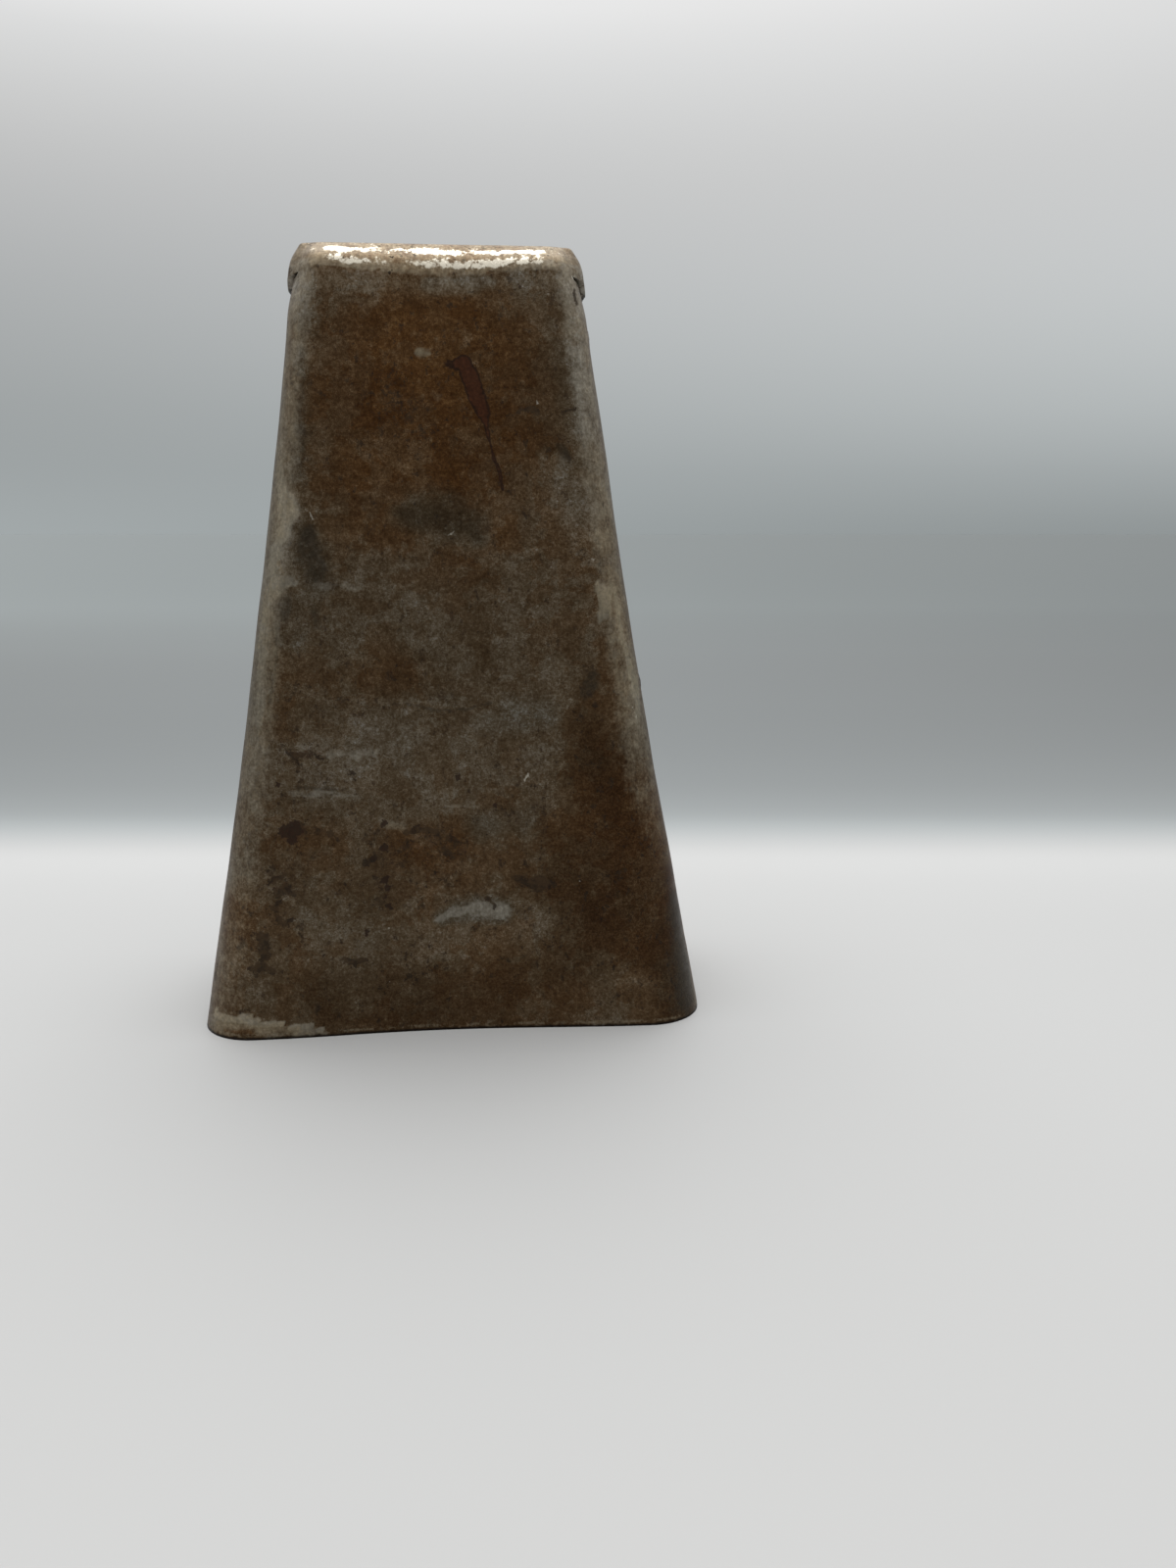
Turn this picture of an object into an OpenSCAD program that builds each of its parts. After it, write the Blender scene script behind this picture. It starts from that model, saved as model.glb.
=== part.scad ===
// Hand-held cowbell (bongo bell) of bent and tack-welded steel sheet.
// The bell stands on its mouth: +Z runs from the mouth rim to the closed end,
// -Y is the struck front face, X runs across it. Units are millimetres.
//
// Two bent shells make the bell. The front shell is one blank: the front face,
// its two side flanges, and the crown flap that turns over the closed end and
// ends in two ears and a rear lip. The back shell tucks inside the front
// shell's flanges and under the crown flap. Weld tacks hold the laps.

/* [Bell] */
// Height from the mouth rim to the closed end
height = 216; // [190:1:235]
// Width of the mouth over the front corners
mouth_w = 146; // [125:1:160]
// Depth of the mouth from front face to back face
mouth_d = 74; // [66:1:84]
// Width of the closed end over the front corners
crown_w = 75.5; // [68:0.5:88]
// Depth of the closed end
crown_d = 37; // [35:1:46]
// How far the slanted edges draw in between mouth and crown
waist = 1.7; // [0:0.1:3]
// How far the corners pinch in just below the closed end
pinch = 0.9; // [0:0.1:1.2]

/* [Sheet] */
// Thickness of the steel sheet
sheet_t = 1.6; // [1.2:0.1:2]
// Bend radius of the upright corners at the mouth
corner_r_mouth = 15.5; // [12:0.5:17]
// Bend radius of the upright corners at the crown
corner_r_crown = 9; // [8.5:0.5:10]
// Splay of the side flanges at the mouth, in degrees
splay_mouth = 9; // [6:1:14]
// Splay of the side flanges at the crown, in degrees
splay_crown = 5; // [2:1:8]
// Hollow of the front face at the mouth
dish_front = 2.3; // [0:0.1:3]
// Hollow of the back face at the mouth
dish_back = 1.2; // [0:0.1:3]

/* [Crown flap] */
// Radius of the lower, softer bend over the closed end
low_bend_r = 6; // [5:0.5:6.5]
// Radius of the upper, sharper bend over the closed end
top_bend_r = 3; // [2.5:0.5:3.5]
// Width of the slanted facet between the two bends
facet_w = 3.3; // [2:0.1:3.6]
// Inset of the crown from the outside of the ears
ear_inset = 2.9; // [2.5:0.1:6]
// Depth of the relief cuts below the bend
notch_depth = 0.6; // [0.5:0.1:1.5]
// Reach of each ear below the relief cuts
ear_reach = 3.2; // [3:0.1:7]
// Reach of the rear lip below the relief cuts
lip_reach = 5; // [4:0.5:7]

/* [Side laps] */
// Flange edge ahead of the bell's middle, at the mouth
edge_mouth = 4; // [0:0.5:6]
// Flange edge ahead of the bell's middle, at the crown
edge_crown = 2; // [0:0.5:3]
// How far the back shell's flange reaches under the front shell's, at the mouth
lap_mouth = 12; // [8:1:14]
// How far the back shell's flange reaches under the front shell's, at the crown
lap_crown = 5.5; // [4:0.5:6]

/* [Weld tacks] */
// Length of a seam tack along the bell
tack_l = 8; // [6:0.5:12]
// Width of a seam tack across the lap
tack_w = 6; // [5:0.5:8]
// Height of a tack over the sheet at the mouth; it halves towards the crown
tack_h = 1.4; // [1.1:0.1:2.4]
// Height of the lower seam tacks above the mouth rim
tack_low_z = 12; // [8:1:30]
// Height of the middle seam tacks above the mouth rim
tack_mid_z = 97; // [60:1:130]
// Distance of the upper seam tacks below the closed end
tack_top_drop = 22; // [20:1:40]

/* [Hidden] */
steel = "#4f4335";
weld = "#5d564c";

H = height;
t = sheet_t;
gap = 0.1;               // air between lapped sheets
w = t + gap;             // one sheet out from the sheet below

facet_tilt = 50;         // lean of the facet, measured from the upright face
R = low_bend_r * sin(facet_tilt) + facet_w * cos(facet_tilt) + top_bend_r * (1 - sin(facet_tilt));
crown_inset = low_bend_r * (1 - cos(facet_tilt)) + facet_w * sin(facet_tilt)
              + top_bend_r * cos(facet_tilt);
notch_z = R + notch_depth;
ear_drop = notch_z + ear_reach;
lip_drop = notch_z + lip_reach;

nf = 8;                  // cells across half a face
na = 8;                  // cells round an upright corner
ns = 5;                  // cells along the front shell's flange
nl = 12;                 // cells along a whole side of the crown flap
nb = 8;                  // cells along the back shell's flange
jt = nf + 5;             // station of the relief cut's tip, inside the corner bend
m = 14;                  // cells up the shells
ml = 5;                  // cells round the lower bend
mt = 4;                  // cells round the upper bend
mb = ml + 1 + mt;        // cells over the crown bend, facet included
msk = 3;                 // cells up the crown flap's skirt

// ---- shape of the bell at height z ----
function up(z) = z / H;
function mix(p, q, s) = p + (q - p) * s;
function ease(s) = let (c = min(1, max(0, s))) c * c * (3 - 2 * c);
function hw(z) = mix(mouth_w, crown_w, up(z)) / 2 - waist * 4 * up(z) * (1 - up(z))
    - pinch * ease((z - (H - 19)) / 11);
function hd(z) = mix(mouth_d, crown_d, up(z)) / 2;
function cr(z) = mix(corner_r_mouth, corner_r_crown, up(z));
function sp(z) = mix(splay_mouth, splay_crown, up(z));
// where the corner bend meets the flange, measured from the middle of the side
function yc(z) = hd(z) - cr(z) + cr(z) * sin(sp(z));
function edge_y(z) = -mix(edge_mouth, edge_crown, up(z));
function lap_y(z) = edge_y(z) - mix(lap_mouth, lap_crown, up(z));
function hollow(s) = (1 + cos(180 * s)) / 2;

// A station is [place, value]: 0 across a face, 1 round a corner, 2 along a side
// (value is y over yc), 3 round the far corner, 4 across the far face.
// Front half of the outline on the +X side; ox and oy push it outwards, da widens it.
function near_pt(z, st, ox, oy, da, dish) =
    let (c = [hw(z) + da - cr(z), -(hd(z) - cr(z))], s = sp(z))
    st[0] == 0 ? [st[1] * c[0], -hd(z) - oy + dish * (1 - up(z)) * hollow(st[1])] :
    let (f = -90 + st[1] * (90 - s))
    [c[0] + (cr(z) + ox) * cos(f), c[1] + (cr(z) + oy) * sin(f)];
function side_pt(z, v, ox, oy, da) =
    let (s = sp(z), y = v * yc(z), al = atan(tan(s) * v),
         x = hw(z) + da - cr(z) + cr(z) * cos(s) + tan(s) * yc(z) / 2 * (1 - v * v))
    [x + ox * cos(al), y + oy * sin(al)];
function flip_y(p) = [p[0], -p[1]];
function outline(z, st, ox, oy, da = 0) =
    st[0] <= 1 ? near_pt(z, st, ox, oy, da, dish_front) :
    st[0] == 2 ? side_pt(z, st[1], ox, oy, da) :
    flip_y(near_pt(z, [4 - st[0], st[1]], ox, oy, da, dish_back));

// ---- a closed solid between an outer and an inner grid of points ----
// a and b are lists of rows; rows run up, points run left to right seen from outside.
module slab(a, b) {
    r = len(a); c = len(a[0]);
    function o(i, j) = i * c + j;
    function n(i, j) = r * c + i * c + j;
    polyhedron(
        points = [for (g = [a, b]) for (row = g) for (p = row) p],
        faces = concat(
            [for (i = [0:r-2]) for (j = [0:c-2]) [o(i,j), o(i+1,j), o(i+1,j+1), o(i,j+1)]],
            [for (i = [0:r-2]) for (j = [0:c-2]) [n(i,j), n(i,j+1), n(i+1,j+1), n(i+1,j)]],
            [for (j = [0:c-2]) [o(0,j), o(0,j+1), n(0,j+1), n(0,j)]],
            [for (j = [0:c-2]) [o(r-1,j+1), o(r-1,j), n(r-1,j), n(r-1,j+1)]],
            [for (i = [0:r-2]) [o(i+1,0), o(i,0), n(i,0), n(i+1,0)]],
            [for (i = [0:r-2]) [o(i,c-1), o(i+1,c-1), n(i+1,c-1), n(i,c-1)]]),
        convexity = 10);
}

// ---- crown bend: station q of mb, for the sheet's face r inside the outer one ----
function bend_f(q) = q <= ml ? facet_tilt * q / ml :
    facet_tilt + (90 - facet_tilt) * (q - ml - 1) / mt;
function bend_in(q, r) = q <= ml ? (low_bend_r - r) * (1 - cos(bend_f(q))) :
    (low_bend_r - r) * (1 - cos(facet_tilt)) + facet_w * sin(facet_tilt)
    + (top_bend_r - r) * (cos(facet_tilt) - cos(bend_f(q)));
function bend_up(q, r) = q <= ml ? (low_bend_r - r) * sin(bend_f(q)) :
    (low_bend_r - r) * sin(facet_tilt) + facet_w * cos(facet_tilt)
    + (top_bend_r - r) * (sin(bend_f(q)) - sin(facet_tilt));

// ---- crown flap: ear and lip outline along the skirt ----
zr = H - notch_z - 4;    // height at which the ears are laid out
arc_l = cr(zr) * (90 - sp(zr)) * PI / 180;
vt = (jt - nf) / na;     // relief cut's tip, as a share of the corner bend
v_tip = -1 / 3;          // ear's tip, as a share of the side
ear_l = (1 - vt) * arc_l + (1 + v_tip) * yc(zr);
function ear_shape(q) = 0.45 * q + 0.55 * (1 - cos(180 * q)) / 2;
function ear_z(q) = H - notch_z - (ear_drop - notch_z) * ear_shape(q);
function flap_low(st) =
    st[0] == 0 ? H - notch_z :
    st[0] == 1 ? (st[1] <= vt ? H - notch_z : ear_z((st[1] - vt) * arc_l / ear_l)) :
    st[0] == 2 ? (st[1] <= v_tip ? ear_z(((1 - vt) * arc_l + (1 + st[1]) * yc(zr)) / ear_l)
                  : mix(H - ear_drop, H - R - 2, ear_shape((st[1] - v_tip) / (1 - v_tip)))) :
    st[0] == 3 ? mix(H - R - 0.4, st[1] > 0.5 ? H - R - 2 : H - lip_drop, abs(2 * st[1] - 1)) :
    H - lip_drop;
// how far the flap stands off the bell's outline, sideways and fore-and-aft
function flap_out(st) =
    st[0] == 0 ? [0, 0] :
    st[0] == 1 ? (st[1] <= vt ? [0, 0] : let (s = (st[1] - vt) / (1 - vt)) [w * s, w * s]) :
    st[0] == 2 ? (st[1] <= 0 ? [w, w] : let (s = max(0, 1 - 2.2 * st[1])) [w * s, w * s]) :
    st[0] == 3 ? [0, w * (1 - st[1])] :
    [0, w];

// ---- front shell ----
common = concat([for (i = [0:nf]) [0, i / nf]], [for (i = [1:na]) [1, i / na]]);
flange = [for (i = [1:ns]) [2, i / ns]];
Js = len(common) + ns - 1;
half_ring = concat(common, [for (i = [1:nl]) [2, -1 + 2 * i / nl]],
                   [for (i = [1:na]) [3, 1 - i / na]], [for (i = [1:nf]) [4, 1 - i / nf]]);
Hn = len(half_ring) - 1;
K = 2 * Hn;

function front_top(h) =
    h <= jt ? H - notch_z :
    h < len(common) ? flap_low(common[h]) - 0.8 :
    H - R - 1.5;
function front_xy(z, h, o) =
    h < len(common) ? outline(z, common[h], o, o) :
    let (s = (h - len(common) + 1) / ns)
    side_pt(z, mix(-1, edge_y(z) / yc(z), s), o, o, 0);
function front_pt(i, j, o) =
    let (h = abs(j - Js), z = front_top(h) * i / m, p = front_xy(z, h, o))
    [j < Js ? -p[0] : p[0], p[1], z];

function flap_row(i, k, inner) =
    let (s = k - jt, left = s < 0 || s > Hn, h = s < 0 ? -s : s > Hn ? 2 * Hn - s : s,
         st = half_ring[h], o = flap_out(st), r = inner ? t : 0,
         q = max(0, i - msk),
         z = i <= msk ? mix(flap_low(st), H - R, i / msk) : H - R + bend_up(q, r),
         dy = bend_in(q, r), dx = dy * ear_inset / crown_inset,
         p = outline(z, st, o[0] - r - dx, o[1] - r - dy))
    [left ? -p[0] : p[0], p[1], z];

module front_shell() {
    n1 = 2 * Js + 1; np = (m + 1) * n1; rl = msk + mb;
    function s(d, i, j) = d * np + i * n1 + j;
    function l(d, i, k0) = let (k = (k0 + K) % K)
        i == 0 && k <= 2 * jt ? s(d, m, Js - jt + k) : 2 * np + d * (rl + 1) * K + i * K + k;
    color(steel) polyhedron(
        points = concat(
            [for (d = [0, 1]) for (i = [0:m]) for (j = [0:n1-1]) front_pt(i, j, -d * t)],
            [for (d = [0, 1]) for (i = [0:rl]) for (k = [0:K-1]) flap_row(i, k, d == 1)]),
        faces = concat(
            // face and flanges
            [for (i = [0:m-1]) for (j = [0:n1-2]) [s(0,i,j), s(0,i+1,j), s(0,i+1,j+1), s(0,i,j+1)]],
            [for (i = [0:m-1]) for (j = [0:n1-2]) [s(1,i,j), s(1,i,j+1), s(1,i+1,j+1), s(1,i+1,j)]],
            [for (j = [0:n1-2]) [s(0,0,j), s(0,0,j+1), s(1,0,j+1), s(1,0,j)]],
            [for (j = [0:n1-2]) if (j < Js - jt || j >= Js + jt)
                [s(0,m,j+1), s(0,m,j), s(1,m,j), s(1,m,j+1)]],
            [for (i = [0:m-1]) [s(0,i+1,0), s(0,i,0), s(1,i,0), s(1,i+1,0)]],
            [for (i = [0:m-1]) [s(0,i,n1-1), s(0,i+1,n1-1), s(1,i+1,n1-1), s(1,i,n1-1)]],
            // crown flap
            [for (i = [0:rl-1]) for (k = [0:K-1]) [l(0,i,k), l(0,i+1,k), l(0,i+1,k+1), l(0,i,k+1)]],
            [for (i = [0:rl-1]) for (k = [0:K-1]) [l(1,i,k), l(1,i,k+1), l(1,i+1,k+1), l(1,i+1,k)]],
            [for (k = [2*jt:K-1]) [l(0,0,k), l(0,0,k+1), l(1,0,k+1), l(1,0,k)]],
            [[for (k = [K-1:-1:0]) l(0,rl,k)], [for (k = [0:K-1]) l(1,rl,k)]]),
        convexity = 10);
}

// ---- back shell, nested inside the front shell's flanges ----
back_half = concat([for (i = [0:nf]) [4, i / nf]], [for (i = [1:na]) [3, i / na]]);
Jb = len(back_half) + nb - 1;
function back_xy(z, h, o) =
    h < len(back_half) ? outline(z, back_half[h], o, o, -w) :
    let (s = (h - len(back_half) + 1) / nb)
    side_pt(z, mix(1, lap_y(z) / yc(z), s), o, o, -w);
function back_pt(i, j, o) =
    let (h = abs(j - Jb), z = (H - R - 0.8) * i / m, p = back_xy(z, h, o))
    [j < Jb ? p[0] : -p[0], p[1], z];

module back_shell() {
    color(steel) slab(
        [for (i = [0:m]) [for (j = [0:2*Jb]) back_pt(i, j, 0)]],
        [for (i = [0:m]) [for (j = [0:2*Jb]) back_pt(i, j, -t)]]);
}

// ---- weld tacks ----
// A low bead over the lap on the +X side, centred on the flange's edge at z0,
// where the surface steps down by the given height.
nk = 10;
module side_tack(z0, l, wd, step) {
    h = tack_h * mix(1, 0.5, up(z0));
    function py(j) = let (s = -1 + 2 * j / nk) edge_y(z0) + wd / 2 * s
        + (s == 0 ? -0.01 : 0);
    function half_l(j) = let (s = -1 + 2 * j / nk) l / 2 * max(0.12, sqrt(max(0, 1 - s * s)));
    function dome(i, j) = let (s = -1 + 2 * j / nk, v = -1 + 2 * i / nk)
        sqrt(max(0, 1 - s * s)) * sqrt(max(0, 1 - v * v));
    function pt(i, j, top) =
        let (z = z0 + half_l(j) * (-1 + 2 * i / nk), y = py(j), s = -1 + 2 * j / nk,
             fall = step * (1 + sin(90 * s)) / 2,
             down = j > nk / 2 ? step : 0,
             o = top ? max(h * dome(i, j) - fall, 0.12 - down) : 0.03 - down,
             p = side_pt(z, y / yc(z), o, o, 0))
        [p[0], p[1], z];
    slab([for (i = [0:nk]) [for (j = [0:nk]) pt(i, j, true)]],
         [for (i = [0:nk]) [for (j = [0:nk]) pt(i, j, false)]]);
}
// A fillet along an ear's lower edge, at its tip, joins it to the sheet below.
module ear_fillet(reach, leg, v0) {
    function ear_v(j) = v0 + reach * (-1 + 2 * j / nk);
    function pt(i, j, top) =
        let (v = ear_v(j), s = -1 + 2 * j / nk, g = sqrt(max(0, 1 - s * s)),
             ze = flap_low([2, v]) - 0.06, z = ze - leg * max(0.12, g) * (1 - i / nk),
             o = top ? max(0.14, w * (0.25 + 0.7 * g) * pow(i / nk, 1.3)) : 0.04,
             p = side_pt(z, v * yc(ze) / yc(z), o, o, 0))
        [p[0], p[1], z];
    slab([for (i = [0:nk]) [for (j = [0:nk]) pt(i, j, true)]],
         [for (i = [0:nk]) [for (j = [0:nk]) pt(i, j, false)]]);
}
module seam_tacks() {
    for (z = [tack_low_z, tack_mid_z, H - tack_top_drop]) side_tack(z, tack_l, tack_w, w);
}
module right_seam_tacks() { color(weld) seam_tacks(); }
module left_seam_tacks() { color(weld) mirror([1, 0, 0]) seam_tacks(); }
module right_ear_tack() { color(weld) ear_fillet(0.3, 2, v_tip); }
module left_ear_tack() { color(weld) mirror([1, 0, 0]) ear_fillet(0.3, 2, v_tip); }

// Beads along the rear lip's edge, on the back face.
module lip_tack(x0) {
    zl = H - lip_drop;
    function pt(i, j, top) =
        let (u = -1 + 2 * i / nk, v = -1 + 2 * j / nk,
             x = x0 + 5 * v, z = zl + (u == 0 ? -0.01 : 0)
                 + 3 * u * max(0.12, sqrt(max(0, 1 - v * v))),
             s = abs(x) / (hw(z) - cr(z)),
             face = hd(z) - dish_back * (1 - up(z)) * hollow(s),
             rise = w * (1 + sin(90 * u)) / 2, over = i > nk / 2 ? w : 0,
             d = 1.5 * sqrt(max(0, 1 - u * u)) * sqrt(max(0, 1 - v * v)))
        [x, face + (top ? max(rise + d, over + 0.12) : over + 0.03), z];
    slab([for (i = [0:nk]) [for (j = [nk:-1:0]) pt(i, j, true)]],
         [for (i = [0:nk]) [for (j = [nk:-1:0]) pt(i, j, false)]]);
}
module rear_lip_tacks() { color(weld) for (x = [-20, 20]) lip_tack(x); }

front_shell();
back_shell();
left_seam_tacks();
right_seam_tacks();
left_ear_tack();
right_ear_tack();
rear_lip_tacks();
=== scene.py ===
import bpy, bmesh, math
import numpy as np
from mathutils import Matrix, Vector


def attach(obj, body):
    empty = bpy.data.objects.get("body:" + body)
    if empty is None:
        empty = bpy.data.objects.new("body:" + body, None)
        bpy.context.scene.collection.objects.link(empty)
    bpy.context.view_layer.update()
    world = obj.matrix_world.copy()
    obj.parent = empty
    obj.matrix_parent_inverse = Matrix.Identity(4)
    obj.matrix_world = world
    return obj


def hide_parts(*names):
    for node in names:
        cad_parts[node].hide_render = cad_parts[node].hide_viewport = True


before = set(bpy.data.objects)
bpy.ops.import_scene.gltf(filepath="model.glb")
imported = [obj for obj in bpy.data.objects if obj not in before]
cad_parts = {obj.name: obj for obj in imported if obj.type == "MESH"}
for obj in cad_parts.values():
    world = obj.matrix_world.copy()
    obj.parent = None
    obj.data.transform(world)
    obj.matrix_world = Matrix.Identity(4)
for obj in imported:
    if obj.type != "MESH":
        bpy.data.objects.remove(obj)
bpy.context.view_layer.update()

# ------------------------------------------------------------------ dimensions, in millimetres
H = 216.0
MOUTH_W, MOUTH_D = 146.0, 74.0
CROWN_W, CROWN_D = 75.5, 37.0
WAIST, PINCH = 1.7, 0.9
T, GAP = 1.6, 0.1
W = T + GAP
CR_M, CR_C = 15.5, 9.0
SP_M, SP_C = math.radians(9.0), math.radians(5.0)
DISH_F, DISH_B = 2.3, 1.2
R1, R2, FACET, TILT = 6.0, 3.0, 3.3, math.radians(50.0)
R = R1 * math.sin(TILT) + FACET * math.cos(TILT) + R2 * (1 - math.sin(TILT))
X_IN = R1 * (1 - math.cos(TILT)) + FACET * math.sin(TILT) + R2 * math.cos(TILT)
EAR_IN = 2.9
NOTCH = R + 0.6
EAR = NOTCH + 3.2
LIP = NOTCH + 5.0
EDGE_M, EDGE_C = 4.0, 2.0
LAP_M, LAP_C = 12.0, 5.5


def up(z): return z / H
def mix(a, b, s): return a + (b - a) * s
def ease(s):
    c = np.clip(s, 0.0, 1.0)
    return c * c * (3 - 2 * c)
def hw(z):
    return mix(MOUTH_W, CROWN_W, up(z)) / 2 - WAIST * 4 * up(z) * (1 - up(z)) - PINCH * ease((z - (H - 19)) / 11)
def hd(z): return mix(MOUTH_D, CROWN_D, up(z)) / 2
def cr(z): return mix(CR_M, CR_C, up(z))
def sp(z): return mix(SP_M, SP_C, up(z))
def yc(z): return hd(z) - cr(z) + cr(z) * np.sin(sp(z))
def edge_y(z): return -mix(EDGE_M, EDGE_C, up(z))
def lap_y(z): return edge_y(z) - mix(LAP_M, LAP_C, up(z))
def hollow(s): return (1 + np.cos(np.pi * s)) / 2


def outline(z, place, val, ox=0.0, oy=0.0, da=0.0):
    """Point of the bell's outline on the +X side at height z. place: 0 face, 1 corner,
    2 side (val is y over yc), 3 rear corner, 4 rear face. Works on arrays."""
    z, place, val = np.broadcast_arrays(np.asarray(z, float), np.asarray(place, float), np.asarray(val, float))
    rear = place > 2.5
    pl = np.where(rear, 4 - place, place)
    sgn = np.where(rear, -1.0, 1.0)
    dish = np.where(rear, DISH_B, DISH_F)
    cx, cy, s = hw(z) + da - cr(z), -(hd(z) - cr(z)), sp(z)
    fx = val * cx
    fy = -hd(z) - oy + dish * (1 - up(z)) * hollow(val)
    f = -np.pi / 2 + val * (np.pi / 2 - s)
    kx = cx + (cr(z) + ox) * np.cos(f)
    ky = cy + (cr(z) + oy) * np.sin(f)
    al = np.arctan(np.tan(s) * val)
    sx = cx + cr(z) * np.cos(s) + np.tan(s) * yc(z) / 2 * (1 - val * val) + ox * np.cos(al)
    sy = val * yc(z) + oy * np.sin(al)
    x = np.where(pl == 0, fx, np.where(pl == 1, kx, sx))
    y = np.where(pl == 0, fy, np.where(pl == 1, ky, sy)) * np.where(pl == 2, 1.0, sgn)
    return x, y


# ------------------------------------------------------------------ small hand-made unevenness
_rng = np.random.RandomState(7)
_WAVES = [(_rng.normal(size=3) * 2 * np.pi / L, _rng.uniform(0, 2 * np.pi), _rng.normal(size=3) * a)
          for L, a in [(150, .10), (120, .10), (95, .09), (80, .08), (64, .06), (52, .045), (44, .035), (38, .03)] * 2]


def uneven(p):
    """A gentle shared warp of the hand-bent sheet; nothing moves at the mouth plane in Z."""
    d = np.zeros_like(p)
    for k, ph, a in _WAVES:
        d += np.sin(p @ k + ph)[:, None] * a[None, :]
    d[:, 2] *= ease(p[:, 2] / 40.0) * 0.4
    top = ease((p[:, 2] - (H - 14)) / 12)
    d *= (1 - 0.75 * top)[:, None]
    d *= np.clip(1.0, 0, 1)
    return p + d * 0.8


# ------------------------------------------------------------------ mesh helpers
def make_object(name, verts_mm, faces, smooth=True):
    me = bpy.data.meshes.new(name)
    me.from_pydata((np.asarray(verts_mm) / 1000.0).tolist(), [], faces)
    me.validate()
    me.update()
    ob = bpy.data.objects.new(name, me)
    bpy.context.scene.collection.objects.link(ob)
    for p in me.polygons:
        p.use_smooth = smooth
    return ob


def apply_mods(ob):
    dg = bpy.context.evaluated_depsgraph_get()
    dg.update()
    me = bpy.data.meshes.new_from_object(ob.evaluated_get(dg))
    old = ob.data
    ob.modifiers.clear()
    ob.data = me
    me.name = ob.name
    bpy.data.meshes.remove(old)
    return ob


def sheet_thickness(ob, bevel=0.00028):
    """Gives an open outer surface the sheet's thickness, inwards, with softly rounded edges."""
    m = ob.modifiers.new("thick", "SOLIDIFY")
    m.thickness = T / 1000
    m.offset = -1
    m.use_even_offset = True
    m.use_rim = True
    apply_mods(ob)
    me = ob.data
    co = np.array([v.co for v in me.vertices])
    low = co[:, 2] < 0.0006
    co[low, 2] = np.where(co[low, 2] < 0.0004, 0.0, co[low, 2])
    me.vertices.foreach_set("co", co.ravel())
    me.update()
    b = ob.modifiers.new("edge", "BEVEL")
    b.width = bevel
    b.segments = 2
    b.limit_method = 'ANGLE'
    b.angle_limit = math.radians(62)
    b.use_clamp_overlap = True
    b.harden_normals = False
    apply_mods(ob)
    for p in ob.data.polygons:
        p.use_smooth = True
    return ob


# ------------------------------------------------------------------ front shell
NF, NA, NS, NL = 56, 16, 16, 40
M_ROWS, SKIRT, ML, MF, MT, TOP = 176, 5, 9, 4, 7, 22
SLIT = NA * 5 // 8
JT = NF + SLIT

st_common = [(0, i / NF) for i in range(NF + 1)] + [(1, i / NA) for i in range(1, NA + 1)]
JS = len(st_common) + NS - 1
st_ring = st_common + [(2, -1 + 2 * i / NL) for i in range(1, NL + 1)] + \
    [(3, 1 - i / NA) for i in range(1, NA + 1)] + [(4, 1 - i / NF) for i in range(1, NF + 1)]
HN = len(st_ring) - 1
K = 2 * HN

zr = H - NOTCH - 4
arc_l = cr(zr) * (math.pi / 2 - sp(zr))
VT = SLIT / NA
V_TIP = -1 / 3
ear_l = (1 - VT) * arc_l + (1 + V_TIP) * yc(zr)
def ear_shape(q): return 0.45 * q + 0.55 * (1 - math.cos(math.pi * q)) / 2
def ear_z(q): return H - NOTCH - (EAR - NOTCH) * ear_shape(q)
def deep(st):
    """How much lower the soft bend starts towards the middle of the face."""
    return 2.0 * hollow(st[1]) ** 0.6 if st[0] == 0 else 0.0
def flap_low(st):
    p, v = st
    if p == 0: return H - NOTCH - deep(st)
    if p == 1: return H - NOTCH if v <= VT else ear_z((v - VT) * arc_l / ear_l)
    if p == 2:
        if v <= V_TIP: return ear_z(((1 - VT) * arc_l + (1 + v) * yc(zr)) / ear_l)
        return mix(H - EAR, H - R - 2, ear_shape((v - V_TIP) / (1 - V_TIP)))
    if p == 3: return mix(H - R - 0.4, H - R - 2 if v > 0.5 else H - LIP, float(ease(abs(2 * v - 1))))
    return H - LIP
def flap_out(st):
    p, v = st
    if p == 0: return 0.0, 0.0
    if p == 1:
        s = 0.0 if v <= VT else float(ease((v - VT) / (1 - VT)))
        return W * s, W * s
    if p == 2:
        s = 1.0 if v <= 0 else max(0.0, 1 - 2.2 * v)
        s = float(ease(s))
        return W * s, W * s
    if p == 3: return 0.0, W * (1 - v)
    return 0.0, W


def bend(q):
    """Inset and rise of the crown bend at row q, for a unit shape."""
    if q <= ML:
        f = TILT * q / ML
        return R1 * (1 - math.cos(f)), R1 * math.sin(f)
    x0, z0 = R1 * (1 - math.cos(TILT)), R1 * math.sin(TILT)
    if q <= ML + MF:
        s = (q - ML) / MF
        return x0 + FACET * s * math.sin(TILT), z0 + FACET * s * math.cos(TILT)
    x0 += FACET * math.sin(TILT); z0 += FACET * math.cos(TILT)
    f = TILT + (math.pi / 2 - TILT) * (q - ML - MF) / MT
    return x0 + R2 * (math.cos(TILT) - math.cos(f)), z0 + R2 * (math.sin(f) - math.sin(TILT))


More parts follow.
